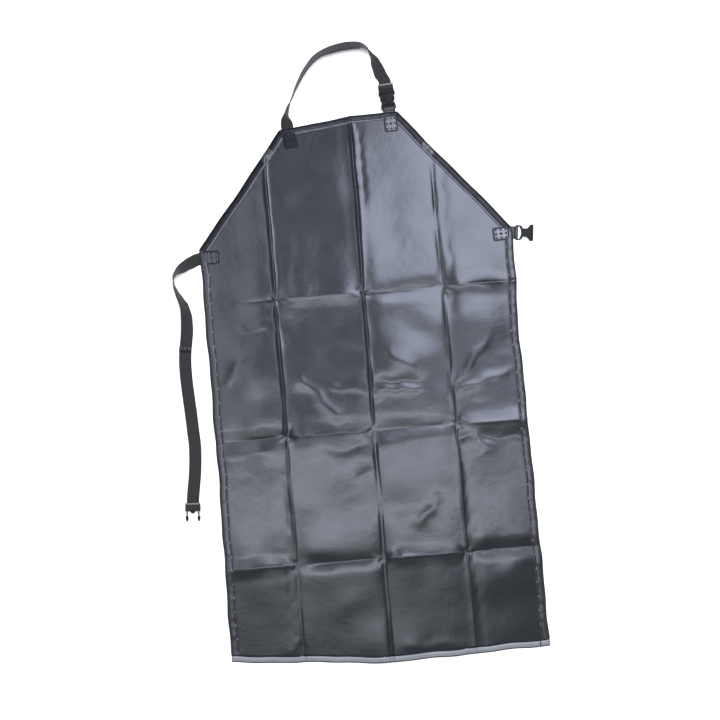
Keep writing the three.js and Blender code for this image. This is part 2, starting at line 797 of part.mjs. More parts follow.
// Each hem by the corner where it starts and the number of edges it runs along
const hems = {
  hem_top: { first: "neckLeft", edges: 2 },
  hem_bib_right: { first: "neckRight", edges: 1 },
  hem_side_right: { first: "waistRight", edges: 2 },
  hem_bottom: { first: "bottomRight", edges: 2 },
  hem_side_left: { first: "bottomLeft", edges: 2 },
  hem_bib_left: { first: "waistLeft", edges: 1 },
};
const hemLayer = layer(onSheet, onSheet + hemThickness);
const patchRoom = joined(Object.values(patches).map((patch) => patchPrism(patch, clearance)));
for (const [name, { first, edges }] of Object.entries(hems)) {
  const strip = hemLayer.intersect(prism(hemStrip(first, edges))).subtract(patchRoom);
  addPiece(name, geometryOf(strip), materials.hem);
}

for (const [name, patch] of Object.entries(patches)) {
  addPiece(name, geometryOf(patchPlate(patch)), materials.patch);
}

addPiece("neck_strap", geometryOf(neckStrap()), materials.web);
addPiece("waist_strap", geometryOf(waistStrap()), materials.web);
addPiece("neck_loop", geometryOf(holdingLoop(neckBuckle)), materials.patch);
addPiece("waist_loop", geometryOf(holdingLoop(waistCatch)), materials.patch);

addPiece("neck_buckle_female", geometryOf(femaleBuckle()), materials.buckle, neckBuckle);
addPiece("neck_buckle_male", geometryOf(maleBuckle()), materials.buckle, neckBuckle);
addPiece("waist_buckle_female", geometryOf(femaleBuckle()), materials.buckle, waistCatch);
addPiece("waist_buckle_male", geometryOf(maleBuckle()), materials.buckle, waistPlug);

// The origin is the middle of the floor under the whole piece
const wholeBox = new THREE.Box3().setFromObject(apron);
const middle = wholeBox.getCenter(new THREE.Vector3());
apron.position.set(-middle.x, -middle.y, 0);
apron.updateMatrixWorld(true);

export default apron;
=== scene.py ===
"""Visual model of a PVC work apron that lies on its back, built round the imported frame.

Shapes are worked out in millimetres, with the origin in the middle of the apron, +X to the right and +Y from
the bottom hem to the neck, and are moved into the frame's metres when a mesh is made.
"""
import math
import random

import bmesh
import bpy
import numpy as np
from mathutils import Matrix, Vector


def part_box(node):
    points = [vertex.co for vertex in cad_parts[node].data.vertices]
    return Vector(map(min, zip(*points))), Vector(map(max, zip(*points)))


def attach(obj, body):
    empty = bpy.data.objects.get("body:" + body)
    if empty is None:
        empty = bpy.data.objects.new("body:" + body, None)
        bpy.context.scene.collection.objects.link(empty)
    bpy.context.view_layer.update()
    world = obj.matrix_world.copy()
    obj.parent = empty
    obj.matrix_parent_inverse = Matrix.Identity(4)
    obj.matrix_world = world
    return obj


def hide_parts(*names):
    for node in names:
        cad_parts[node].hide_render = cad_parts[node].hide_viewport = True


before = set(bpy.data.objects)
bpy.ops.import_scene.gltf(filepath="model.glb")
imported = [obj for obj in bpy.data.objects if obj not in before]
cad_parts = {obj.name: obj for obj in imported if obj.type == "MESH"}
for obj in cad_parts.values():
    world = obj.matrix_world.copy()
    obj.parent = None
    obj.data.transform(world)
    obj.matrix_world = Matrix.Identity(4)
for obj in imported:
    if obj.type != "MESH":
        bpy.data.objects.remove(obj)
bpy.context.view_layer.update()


def table(columns, *rows):
    """Rows of values under named columns."""
    return [dict(zip(columns.split(), row)) for row in rows]


def named_table(columns, rows):
    """Rows of values under named columns, each row with its name."""
    return dict(zip(rows, table(columns, *rows.values())))


# Sizes of the apron, the same as the solids have
SKIRT_WIDTH = 648.0
APRON_LENGTH = 1120.0
BIB_TOP_WIDTH = 242.0
BIB_DEPTH = 250.0
SHEET = 1.2
SIDE_HEM = 17.0
END_HEM = 15.0
WEB_WIDTH = 25.0
WEB_THICKNESS = 1.5
CLEARANCE = 0.3
HALF_WIDTH = SKIRT_WIDTH / 2
TOP = APRON_LENGTH / 2
BOTTOM = -TOP
WAIST = TOP - BIB_DEPTH

# Outline of the sheet, clockwise from the neck's left corner
OUTLINE = {
    "neck_left": (-0.57 * BIB_TOP_WIDTH, TOP - 0.068 * BIB_DEPTH),
    "top_middle": (0.03 * BIB_TOP_WIDTH, TOP),
    "neck_right": (0.43 * BIB_TOP_WIDTH, TOP + 0.008 * BIB_DEPTH),
    "waist_right": (0.988 * HALF_WIDTH, WAIST - 0.013 * BIB_DEPTH),
    "side_right": (0.977 * HALF_WIDTH, 0.21 * TOP),
    "bottom_right": (1.016 * HALF_WIDTH, 0.985 * BOTTOM),
    "bottom_middle": (0.008 * HALF_WIDTH, BOTTOM),
    "bottom_left": (-0.997 * HALF_WIDTH, 0.954 * BOTTOM),
    "side_left": (-0.986 * HALF_WIDTH, 0.29 * BOTTOM),
    "waist_left": (-0.991 * HALF_WIDTH, WAIST + 0.012 * BIB_DEPTH),
}
CORNERS = list(OUTLINE)

# The frame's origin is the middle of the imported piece, so the sheet's left and bottom edges give the shift
panel_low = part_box("apron_panel")[0]
SHIFT = np.array([
    OUTLINE["bottom_left"][0] - panel_low.x * 1000,
    BOTTOM - panel_low.y * 1000,
    0.0,
])

# Relief of the sheet
FOLD_HEIGHT = 2.8
SHOULDER_HEIGHT = 2.6
CREASE_REACH = 17.0
CREASE_POWER = 1.5
PINCH_REACH = 6.0
PINCH_POWER = 1.2
PINCH_SHARE = 0.62
LEVEL_PINCH = 0.12
LEVEL_WIDENED = 1.6
SHOULDER_REACH = 70.0
SHARE_REACH = 40.0
SWELL_HEIGHT = 9.0
FLOOR_PRESS = 0.6
LIFTED_REACH = (40.0, 190.0)
LIFT_BLEND = 0.7
SOFT_FLOOR = 1.1

# Folds from neck to hem: place, lean, extra width on the left, and height in the bands from the skirt up
UPRIGHT_FOLDS = table(
    "across lean skew bands",
    (-0.537, 0.0, 0.3, (-0.7, 0.7, 1.2, 1.1)),
    (0.018, 0.003, 0.1, (-1.1, -1.0, 1.1, 1.4)),
    (0.527, -0.011, 0.0, (0.7, 0.8, 0.8, -0.8)),
)

# Folds across: place, and height in the columns from left to right
LEVEL_FOLDS = table(
    "along columns",
    (0.355, (-0.8, 0.9, -1.0, 1.5)),
    (-0.15, (-1.2, 1.0, -1.0, 1.15)),
    (-0.618, (1.5, -1.3, 1.1, -1.4)),
)

SWELLS = table(
    "across along reach height",
    (-0.12, 0.55, 0.5, 0.3),
    (0.74, 0.2, 0.2, 0.5),
    (-0.75, 0.08, 0.2, 0.5),
    (0.02, -1.0, 0.2, 0.5),
    (0.25, 0.1, 0.2, 0.6),
)

# Each cell between the folds bulges a little: height along and across the cell, from the skirt up
PILLOWS = table(
    "along across",
    ((0.8, 0.8, 0.8, 0.8), (0.5, 0.5, 0.5, 0.5)),
    ((0.0, 0.0, 0.0, 0.0), (0.5, 0.5, 0.5, 0.5)),
    ((0.0, 0.0, 0.5, 0.5), (0.5, 0.5, 0.5, 0.5)),
    ((0.5, 0.5, 0.5, 0.5), (0.5, 1.5, 0.5, 0.5)),
)

SINGLE_LIFT = WEB_THICKNESS + 3 * CLEARANCE
DOUBLE_LIFT = 2 * WEB_THICKNESS + 4 * CLEARANCE

# Where webbing is sewn on: strap widths from a corner towards the next, direction outwards, lift of the sheet
ANCHORS = named_table("to widths out lift", {
    "neck_left": ("top_middle", 0.62, 97, SINGLE_LIFT),
    "neck_right": ("top_middle", 0.62, 94, DOUBLE_LIFT),
    "waist_right": ("side_right", 0.38, -6, DOUBLE_LIFT),
    "waist_left": ("side_left", 0.74, 164, SINGLE_LIFT),
})
for corner, anchor in ANCHORS.items():
    start = np.array(OUTLINE[corner])
    run = np.array(OUTLINE[anchor["to"]]) - start
    anchor["at"] = start + run * anchor["widths"] * WEB_WIDTH / np.hypot(*run)

# Small wrinkles: middle, length, turn in degrees, half width and height, in millimetres
WRINKLES = table(
    "x y long turn wide high",
    (-221, 142, 62, 3, 8, 1.2),
    (-273, 57, 61, 46, 10, 1.4),
    (-263, -117, 78, 1, 18, 1.5),
    (-119, 15, 55, -47, 12, 2.2),
    (-83, -31, 61, -58, 12, 2.2),
    (-43, 7, 70, -11, 10, 1.5),
    (-43, -118, 66, 1, 12, -1.8),
    (-22, -172, 28, 13, 8, -1.5),
    (69, 56, 61, -44, 12, 1.6),
    (62, 12, 82, -3, 8, -1.8),
    (65, -3, 78, -3, 6, 1.6),
    (15, -12, 16, -95, 5, 1.8),
    (92, -269, 36, 38, 10, 1.8),
    (118, -242, 40, 55, 10, 1.8),
    (94, -532, 103, -1, 12, 1.8),
    (212, 39, 102, 51, 10, 2.4),
    (237, 0, 108, 17, 8, 1.8),
    (250, -46, 99, -4, 15, -1.0),
    (275, -120, 92, -2, 10, -1.8),
    (189, -111, 23, 6, 7, 1.6),
    (221, -122, 41, -54, 8, 1.6),
    (219, -148, 60, 3, 18, 1.4),
    (-193, -512, 31, 49, 7, 1.5),
    (171, 473, 35, 50, 7, -1.5),
    (306, 297, 23, 59, 5, 1.2),
    (-141, 209, 226, -90, 18, -1.4),
    (186, 330, 290, -89, 10, -1.5),
    (22, 470, 150, -90, 5, -1.6),
    (-192, -335, 330, -90, 6, -1.5),
    (190, -335, 330, -89, 6, -1.5),
)

# Gentle waves all over the sheet, as sums of plain waves in random directions
WAVE_SEED = 11
WAVE_COUNT = 14
WAVE_SPAN = (60.0, 170.0)
WAVE_SLOPE = 0.0065

# Each fold wanders a little from its straight line, and dips where two folds cross
WOBBLES = table(
    "span size",
    (19.0, 0.3),
    (47.0, 0.8),
)
STRENGTH_SHARE = 0.2
STRENGTH_SPAN = 17.0
STRENGTH_SLOWER = 0.37
STRENGTH_PHASE = 7
WOBBLE_PHASE = 9
DIP_DEPTH = 2.2
DIP_REACH = 7.0
DIP_POWER = 1.5
STAR_HEIGHT = 1.5
STAR_REACH = 13.0
STAR_RAYS = 4
WRINKLE_LOW = 0.85
WRINKLE_STRAIGHT = 0.35
WRINKLE_FADE = 0.25
WRINKLE_BEND = 0.3
WRINKLE_POWER = 1.4

# Soft dents and bumps scattered over the sheet
DENT_SEED = 5
DENT_COUNT = 230
DENT_REACH = (6.0, 26.0)
DENT_SLOPE = 0.034
DENT_STRETCH = (1.0, 2.6)
DENT_TURN = 0.5
DENT_STRENGTH = (0.3, 1.0)


def eased(low, high, value):
    share = np.clip((value - low) / (high - low), 0, 1)
    return share * share * (3 - 2 * share)


def fold_share(values, limits, place):
    share = values[0]
    for index, limit in enumerate(limits):
        passed = eased(limit - SHARE_REACH, limit + SHARE_REACH, place)
        share = share + (values[index + 1] - values[index]) * passed
    return share


def wander(place, phase):
    """Sideways distance of a fold from its straight line."""
    return sum(wobble["size"] * np.sin(place / wobble["span"] + phase) for wobble in WOBBLES)


def upright_line(fold, along):
    return fold["across"] * HALF_WIDTH + fold["lean"] * along + wander(along, fold["across"] * WOBBLE_PHASE)


def crease_strength(place, phase):
    """A fold is pressed harder in some places than in others."""
    quick = np.sin(place / STRENGTH_SPAN + phase)
    slow = np.sin(place / STRENGTH_SPAN * STRENGTH_SLOWER + 2 * phase)
    return 1 + STRENGTH_SHARE * quick * slow


def level_line(fold, across):
    return fold["along"] * TOP + wander(across, fold["along"] * WOBBLE_PHASE)


def fold_profile(distance, share, skew=0.0, pinched=PINCH_SHARE, widened=1.0):
    shoulder = SHOULDER_HEIGHT * np.exp(-((distance / SHOULDER_REACH) ** 2))
    side = 1 - skew * np.sign(distance)
    crease = np.maximum(1 - np.abs(distance) / (CREASE_REACH * widened * side), 0) ** CREASE_POWER
    pinch = np.maximum(1 - np.abs(distance) / (PINCH_REACH * side), 0) ** PINCH_POWER
    crease = FOLD_HEIGHT * share * (crease * (1 - pinched) + pinch * pinched)
    return np.abs(share) * shoulder + crease


def make_waves():
    draw = random.Random(WAVE_SEED)
    waves = []
    for _ in range(WAVE_COUNT):
        turn = draw.uniform(0, math.pi)
        span = draw.uniform(*WAVE_SPAN)
        waves.append((math.cos(turn) / span, math.sin(turn) / span, draw.uniform(0, math.tau), span))
    return waves


WAVES = make_waves()


def waves_at(x, y):
    height = 0.0
    for along_x, along_y, phase, span in WAVES:
        height += WAVE_SLOPE * span / math.tau * np.sin(math.tau * (x * along_x + y * along_y) + phase)
    return height


def make_dents():
    draw = random.Random(DENT_SEED)
    dents = []
    for _ in range(DENT_COUNT):
        reach = draw.uniform(*DENT_REACH)
        dents.append({
            "x": draw.uniform(-HALF_WIDTH, HALF_WIDTH),
            "y": draw.uniform(BOTTOM, TOP),
            "reach": reach,
            "stretch": draw.uniform(*DENT_STRETCH),
            "turn": draw.gauss(0, DENT_TURN),
            "high": draw.choice((-1, 1)) * DENT_SLOPE * reach * draw.uniform(*DENT_STRENGTH),
        })
    return dents


DENTS = make_dents()


def turned(x, y, turn):
    """Distances along a direction and beside it."""
    return x * math.cos(turn) + y * math.sin(turn), y * math.cos(turn) - x * math.sin(turn)


def dent_at(dent, x, y):
    along, aside = turned(x - dent["x"], y - dent["y"], dent["turn"])
    far = -((along / (dent["reach"] * dent["stretch"])) ** 2)
    return dent["high"] * np.exp(far - (aside / dent["reach"]) ** 2)


def wrinkle_at(wrinkle, x, y):
    along, aside = turned(x - wrinkle["x"], y - wrinkle["y"], math.radians(wrinkle["turn"]))
    past = np.maximum(np.abs(along) - wrinkle["long"] * WRINKLE_STRAIGHT, 0)
    past = past / (wrinkle["long"] * WRINKLE_FADE)
    aside = aside - wrinkle["wide"] * WRINKLE_BEND * np.sin(along / wrinkle["wide"])
    near = np.abs(aside) / wrinkle["wide"]
    return WRINKLE_LOW * wrinkle["high"] * np.exp(-past ** 2) * np.exp(-near ** WRINKLE_POWER)


def bulge(value, limits, index):
    """One in the middle between two neighbouring limits, and zero from them on."""
    share = np.clip((value - limits[index]) / (limits[index + 1] - limits[index]), 0, 1)
    return 4 * share * (1 - share)


def pillow_at(x, y, levels, uprights):
    bands = [BOTTOM, *levels[::-1], TOP]
    columns = [-HALF_WIDTH, *uprights, HALF_WIDTH]
    height = 0.0
    for band, heights in enumerate(PILLOWS):
        along = bulge(y, bands, band)
        for column in range(len(columns) - 1):
            across = bulge(x, columns, column)
            height += heights["along"][column] * along * np.sqrt(across)
            height += heights["across"][column] * across * np.sqrt(along)
    return height


def sheet_lift(x, y):
    """Height of the sheet's underside above the floor."""
    x = np.asarray(x, float)
    y = np.asarray(y, float)
    levels = [level_line(fold, x) for fold in LEVEL_FOLDS]
    uprights = [upright_line(fold, y) for fold in UPRIGHT_FOLDS]
    height = -FLOOR_PRESS + waves_at(x, y) + pillow_at(x, y, levels, uprights)
    for upright in uprights:
        for level in levels:
            distance = np.hypot(x - upright, y - level)
            height -= DIP_DEPTH * np.exp(-(distance / DIP_REACH) ** DIP_POWER)
            away = distance / STAR_REACH
            rays = np.cos(STAR_RAYS * np.arctan2(y - level, x - upright) + level)
            height += STAR_HEIGHT * away * np.exp(-(away ** 2)) * rays
    for fold, place in zip(UPRIGHT_FOLDS, uprights):
        strength = crease_strength(y, fold["across"] * STRENGTH_PHASE)
        height += fold_profile(x - place, fold_share(fold["bands"], levels[::-1], y) * strength, fold["skew"])
    for fold, place in zip(LEVEL_FOLDS, levels):
        strength = crease_strength(x, fold["along"] * STRENGTH_PHASE)
        share = fold_share(fold["columns"], uprights, x) * strength
        height += fold_profile(y - place, share, 0.0, LEVEL_PINCH, LEVEL_WIDENED)
    for swell in SWELLS:
        distance = np.hypot(x - swell["across"] * HALF_WIDTH, y - swell["along"] * TOP)
        away = distance / (swell["reach"] * HALF_WIDTH)
        height += SWELL_HEIGHT * swell["height"] * np.exp(-(away ** 2))
    for wrinkle in WRINKLES:
        height += wrinkle_at(wrinkle, x, y)
    for dent in DENTS:
        height += dent_at(dent, x, y)
    held = 0.0
    for anchor in ANCHORS.values():
        distance = np.hypot(x - anchor["at"][0], y - anchor["at"][1])
        held = np.maximum(held, anchor["lift"] * (1 - eased(*LIFTED_REACH, distance)))
    soft = (height + np.sqrt(height ** 2 + SOFT_FLOOR ** 2)) / 2
    return (soft + held) / 2 + np.hypot((soft - held) / 2, LIFT_BLEND)


def linked(name, data):
    """An object in the scene that holds the given data."""
    piece = bpy.data.objects.new(name, data)
    bpy.context.scene.collection.objects.link(piece)
    return piece


def new_object(name, points, faces):
    """A mesh object from points in the apron's millimetres."""
    mesh = bpy.data.meshes.new(name)
    placed = (np.asarray(points, float) - SHIFT) / 1000
    mesh.from_pydata(placed.tolist(), [], faces)
    mesh.update()
    mesh.shade_smooth()
    return linked(name, mesh)


def tube_faces(rings, size, base=0):
    """Faces of a tube over rings of points, with both its ends closed."""
    faces = []
    for ring in range(rings - 1):
        for part in range(size):
            a = base + ring * size + part
            b = base + ring * size + (part + 1) % size
            faces.append([a, a + size, b + size, b])
    faces.append([base + part for part in range(size)])
    last = base + (rings - 1) * size
    faces.append([last + part for part in range(size)][::-1])
    return faces


def distance_run(places):
    """Distance run from the first place at each of a row of places."""
    return np.concatenate([[0], np.cumsum(np.linalg.norm(np.diff(places, axis=0), axis=1))])


# Outline of the sheet as limits across for a height, and limits along for a place across
RIGHT_SIDE = ["bottom_right", "side_right", "waist_right", "neck_right"]
LEFT_SIDE = ["bottom_left", "side_left", "waist_left", "neck_left"]
TOP_SIDE = ["neck_left", "top_middle", "neck_right"]
BOTTOM_SIDE = ["bottom_left", "bottom_middle", "bottom_right"]


def broken_line(names, value, key):
    """Place on a line through named corners, running straight on past its ends."""
    known = [OUTLINE[name][key] for name in names]
    wanted = [OUTLINE[name][1 - key] for name in names]
    result = np.interp(value, known, wanted)
    for end, beside in ((0, 1), (-1, -2)):
        slope = (wanted[beside] - wanted[end]) / (known[beside] - known[end])
        outside = value < known[end] if end == 0 else value > known[end]
        result = np.where(outside, wanted[end] + slope * (value - known[end]), result)
    return result


RIPPLES = table(
    "size span phase",
    (0.9, 31.0, 0.0),
    (0.6, 13.0, 1.0),
)
TOP_RIPPLE = 0.4
RIGHT_RIPPLE_SHIFT = 50


def edge_ripple(along):
    """Slight waviness of an edge."""
    return sum(ripple["size"] * np.sin(along / ripple["span"] + ripple["phase"]) for ripple in RIPPLES)


FOLD_OFFSETS = (0, 0.9, 2.0, 3.3, 5.0, 7.2, 10.0, 13.5, 18.0, 23.5)
WIDEST_CELL = 4.9
EDGE_CELL = 3.0
EDGE_ZONE = 24.0
EDGE_SLACK = 1
MARGIN = 6.0


def grid_lines(folds, low, high):
    lines = [low, high, low + EDGE_ZONE, high - EDGE_ZONE]
    for fold in folds:
        for offset in FOLD_OFFSETS:
            lines += [fold - offset, fold + offset] if offset else [fold]
    lines = sorted(lines)
    filled = [lines[0]]
    for before, after in zip(lines, lines[1:]):
        edge = before < low + EDGE_ZONE - EDGE_SLACK or after > high - EDGE_ZONE + EDGE_SLACK
        parts = max(1, round((after - before) / (EDGE_CELL if edge else WIDEST_CELL)))
        filled += [before + (after - before) * part / parts for part in range(1, parts + 1)]
    return np.array(filled)


def with_folds(lines, places, shifts):
    """Even lines moved so that those on the folds follow the folds, and those between them go along."""
    moved = np.empty(shifts[0].shape + lines.shape)
    for index in range(len(moved)):
        moved[index] = lines + np.interp(lines, places, [shift[index] for shift in shifts])
    return moved


def panel_grid():
    upright_places = [fold["across"] * HALF_WIDTH for fold in UPRIGHT_FOLDS]
    level_places = [fold["along"] * TOP for fold in LEVEL_FOLDS]
    across = grid_lines(upright_places, -HALF_WIDTH - MARGIN, HALF_WIDTH + MARGIN)
    along = grid_lines(level_places, BOTTOM - MARGIN, TOP + MARGIN)
    upright_shifts = [
        upright_line(fold, along) - place for fold, place in zip(UPRIGHT_FOLDS, upright_places)
    ]
    level_shifts = [
        level_line(fold, across) - place for fold, place in zip(LEVEL_FOLDS, level_places)
    ]
    x = with_folds(across, upright_places, upright_shifts)
    y = with_folds(along, level_places, level_shifts).T
    low = broken_line(BOTTOM_SIDE, x, 0) + edge_ripple(x)
    high = broken_line(TOP_SIDE, x, 0) + edge_ripple(x) * TOP_RIPPLE
    y = np.clip(y, low, high)
    left = broken_line(LEFT_SIDE, y, 1) + edge_ripple(y)
    right = broken_line(RIGHT_SIDE, y, 1) + edge_ripple(y + RIGHT_RIPPLE_SHIFT)
    return np.clip(x, left, right), y


def closed_sheet(name, x, y, low, high):
    """A closed body between two heights over a grid whose rows and columns may run together at the edge."""
    rows, columns = x.shape
    keys = {}
    index = np.zeros((rows, columns), int)
    places = []
    for row in range(rows):
        for column in range(columns):
            key = (round(x[row, column], 4), round(y[row, column], 4))
            if key not in keys:
                keys[key] = len(places)
                places.append((row, column))
            index[row, column] = keys[key]
    count = len(places)
    rows_of = [place[0] for place in places]
    columns_of = [place[1] for place in places]
    flat_x = x[rows_of, columns_of]
    flat_y = y[rows_of, columns_of]
    points = np.concatenate([
        np.stack([flat_x, flat_y, low[rows_of, columns_of]], 1),
        np.stack([flat_x, flat_y, high[rows_of, columns_of]], 1),
    ])
    faces = []
    edges = {}
    for row in range(rows - 1):
        for column in range(columns - 1):
            loop = []
            for next_row, next_column in ((0, 0), (0, 1), (1, 1), (1, 0)):
                corner = int(index[row + next_row, column + next_column])
                if corner not in loop:
                    loop.append(corner)
            if len(loop) < 3:
                continue
            faces.append([corner + count for corner in loop])
            faces.append(loop[::-1])
            for a, b in zip(loop, loop[1:] + loop[:1]):
                if (b, a) in edges:
                    del edges[(b, a)]
                else:
                    edges[(a, b)] = True
    for a, b in edges:
        faces.append([a, b, b + count, a + count])
    return new_object(name, points, faces)


def make_panel():
    x, y = panel_grid()
    lift = sheet_lift(x, y)
    return closed_sheet("sheet_panel", x, y, lift, lift + SHEET)


# Hems: the corner where each starts, and its edges
HEMS = named_table("first edges width look", {
    "hem_top": ("neck_left", 2, END_HEM, "top"),
    "hem_bib_right": ("neck_right", 1, SIDE_HEM, "rolled"),
    "hem_side_right": ("waist_right", 2, SIDE_HEM, "side"),
    "hem_bottom": ("bottom_right", 2, END_HEM, "bottom"),
    "hem_side_left": ("bottom_left", 2, SIDE_HEM, "side"),
    "hem_bib_left": ("waist_left", 1, SIDE_HEM, "rolled"),
})
EDGE_WIDTHS = [hem["width"] for hem in HEMS.values() for _ in range(hem["edges"])]


def edge_of(index):
    start = np.array(OUTLINE[CORNERS[index % len(CORNERS)]])
    run = np.array(OUTLINE[CORNERS[(index + 1) % len(CORNERS)]]) - start
    return start, run / np.hypot(*run), np.hypot(*run)


def corner_inside(index, before, after):
    """Where two lines cross that run inside the edges before and after a corner, at given distances."""
    lines = []
    for edge, distance in ((index - 1, before), (index, after)):
        start, run, _ = edge_of(edge)
        inward = np.array([run[1], -run[0]])
        lines.append((start + inward * distance, run))
    (a, along), (b, beside) = lines
    turn = along[0] * beside[1] - along[1] * beside[0]
    share = ((b[0] - a[0]) * beside[1] - (b[1] - a[1]) * beside[0]) / turn
    return a + along * share


def hem_end(hem, index):
    """Outer and inner end of a hem at a corner: mitred, but the bottom hem runs past the side hems."""
    before = EDGE_WIDTHS[(index - 1) % len(CORNERS)]
    after = EDGE_WIDTHS[index % len(CORNERS)]
    corner = CORNERS[index % len(CORNERS)]
    outer = corner_inside(index, 0, 0)
    inner = corner_inside(index, before, after)
    if corner not in ("bottom_right", "bottom_left"):
        return outer, inner
    shared = corner_inside(index, *((0, after) if corner == "bottom_right" else (before, 0)))
    return (outer, shared) if hem["look"] == "bottom" else (shared, inner)


# Section of a hem from its inner edge over the top: share of its width in, millimetres past the edge, height
HEM_SECTION = table(
    "share past high",
    (1.0, 0.0, 0.3),
    (1.0, 0.0, 1.0),
    (0.98, 0.0, 1.3),
    (0.87, 0.0, 1.25),
    (0.82, 0.0, 0.7),
    (0.78, 0.0, 1.15),
    (0.72, 0.0, 1.6),
    (0.5, 0.0, 1.9),
    (0.3, 0.0, 1.85),
    (0.14, 0.0, 1.55),
    (0.04, 0.0, 1.0),
    (0.0, 0.5, 0.3),
    (0.0, 0.8, -0.4),
    (0.0, 0.6, -1.0),
    (0.0, 0.3, -0.9),
    (0.0, 0.2, 0.3),
)
HEM_STEP = 2.2
HEM_GAP = 0.4
HEM_SWELL = 0.16
HEM_SWELL_SPAN = 7.3
HEM_SLOW_SPAN = 31
HEM_FINE = 0.08
HEM_FINE_SPAN = 3.1
LIP_PARTS = 5
# Section parts from here on are the bottom hem's outer rim, in the dark copy as painted shadow under its edge
SHADOW_RIM_PART = 9
PUCKER_REACH = 11.0
PUCKER_SHARE = 0.3
PUCKER_SPAN = 3.6
STITCH_SHARE = 0.82
STITCH_STEP = 4.2
# Every so many stitches take the light thread as a painted glint; on rolled and top hems every stitch does
GLINT_STITCH_EVERY = {"rolled": 1, "top": 1, "side": 7, "bottom": 40}
# Rolled hems take a painted glint where a fold puckers them more than this; the bottom hem takes a painted
# shadow line this far from its first corner
PUCKER_GLINT_LEVEL = 0.45
CORNER_SHADE_PLACE = 17.0


def hem_path(hem):
    """Pairs of outer and inner places along a hem, with the distance run and the inward direction."""
    first = CORNERS.index(hem["first"])
    stations = []
    run_before = 0.0
    for step in range(hem["edges"]):
        length = edge_of(first + step)[2]
        start, inner_start = hem_end(hem, first + step)
        end, inner_end = hem_end(hem, first + step + 1)
        gap_start = HEM_GAP / length if step == 0 else 0.0
        gap_end = HEM_GAP / length if step == hem["edges"] - 1 else 0.0
        count = round(length / HEM_STEP)
        for index in range(count + 1):
            if index == count and step < hem["edges"] - 1:
                continue
            share = gap_start + (1 - gap_start - gap_end) * index / count
            outer = start + (end - start) * share
            inner = inner_start + (inner_end - inner_start) * share
            stations.append((outer, inner, run_before + share * length))
        run_before += length
    return stations


def rippled(hem_name, point):
    """Moves a place on the outline with the waviness of its edge."""
    x, y = point
    if hem_name == "hem_top":
        return np.array([x, y + edge_ripple(x) * TOP_RIPPLE])
    if hem_name == "hem_bottom":
        return np.array([x, y + edge_ripple(x)])
    shift = edge_ripple(y) if "left" in hem_name else edge_ripple(y + RIGHT_RIPPLE_SHIFT)
    return np.array([x + shift, y])


def pucker_at(point):
    """How much a hem is crumpled where a fold runs under it."""
    x, y = point
    away = [abs(x - upright_line(fold, y)) for fold in UPRIGHT_FOLDS]
    away += [abs(y - level_line(fold, x)) for fold in LEVEL_FOLDS]
    return math.exp(-(min(away) / PUCKER_REACH) ** 2)


def make_hem(name, hem):
    draw = random.Random(name)
    phases = [draw.uniform(0, math.tau) for _ in range(4)]
    points = []
    shade_or_glint_rings = []
    for outer, inner, run in hem_path(hem):
        # Painted shadow line near the bottom hem's corner, and painted glints on rolled hems over folds
        painted_corner_shade = hem["look"] == "bottom" and abs(run - CORNER_SHADE_PLACE) < HEM_STEP / 2
        shade_or_glint_rings.append(painted_corner_shade or hem["look"] == "rolled" and pucker_at(outer) > PUCKER_GLINT_LEVEL)
        slow = math.sin(run / HEM_SLOW_SPAN + phases[1])
        swell = 1 + HEM_SWELL * math.sin(run / HEM_SWELL_SPAN + phases[0]) * slow
        swell += HEM_FINE * math.sin(run / HEM_FINE_SPAN + phases[2])
        swell += PUCKER_SHARE * pucker_at(outer) * math.sin(run / PUCKER_SPAN + phases[3])
        outer = rippled(name, outer)
        inner = rippled(name, inner)
        inward = (inner - outer) / np.hypot(*(inner - outer))
        for part in HEM_SECTION:
            place = outer + (inner - outer) * part["share"] - inward * part["past"]
            base = outer + (inner - outer) * part["share"]
            high = part["high"] * swell if part["high"] > CLEARANCE else part["high"]
            points.append((place[0], place[1], base[0], base[1], high))
    points = np.array(points)
    height = sheet_lift(points[:, 2], points[:, 3]) + SHEET + points[:, 4]
    placed = np.stack([points[:, 0], points[:, 1], height], 1)
    size = len(HEM_SECTION)
    rings = len(placed) // size
    piece = new_object(name + "_roll", placed, tube_faces(rings, size))
    for index in range((rings - 1) * size):
        part = index % size
        # Second material: the lip, the bottom hem's rim as painted shadow, and the painted glints and shadow
        # line marked above
        painted_rim_shadow = hem["look"] == "bottom" and part >= SHADOW_RIM_PART
        piece.data.polygons[index].material_index = int(part < LIP_PARTS or painted_rim_shadow or shade_or_glint_rings[index // size])
    return piece


# A stitch: a short thread that rises out of the sheet and goes back in
STITCH_LONG = 3.1
STITCH_WIDE = 1.15
STITCH_HIGH = 0.6
STITCH_RISE = 0.95
STITCH_SUNK = -0.4
STITCH_ROUND = 0.2
STITCH_RINGS = table(
    "along wide high",
    (-0.5, 0.35, -0.25),
    (-0.3, 1, 0.75),
    (0, 1.1, 1),
    (0.3, 1, 0.75),
    (0.5, 0.35, -0.25),
)
STITCH_CORNERS = table(
    "side rise",
    (-0.5, 0),
    (0, 1),
    (0.5, 0),
    (0, -0.6),
)


def stitch_mesh(places):
    """Threads at places that each give x, y, z and the direction of the seam."""
    points = []
    faces = []
    for x, y, z, turn in places:
        forward = np.array([math.cos(turn), math.sin(turn)])
        aside = np.array([-forward[1], forward[0]])
        faces += tube_faces(len(STITCH_RINGS), len(STITCH_CORNERS), len(points))
        for ring in STITCH_RINGS:
            middle = np.array([x, y]) + forward * ring["along"] * STITCH_LONG
            for corner in STITCH_CORNERS:
                place = middle + aside * corner["side"] * ring["wide"] * STITCH_WIDE
                high = STITCH_HIGH * ring["high"] * max(corner["rise"], STITCH_SUNK)
                points.append((*place, z + high + STITCH_HIGH * STITCH_ROUND * corner["rise"]))
    return points, faces


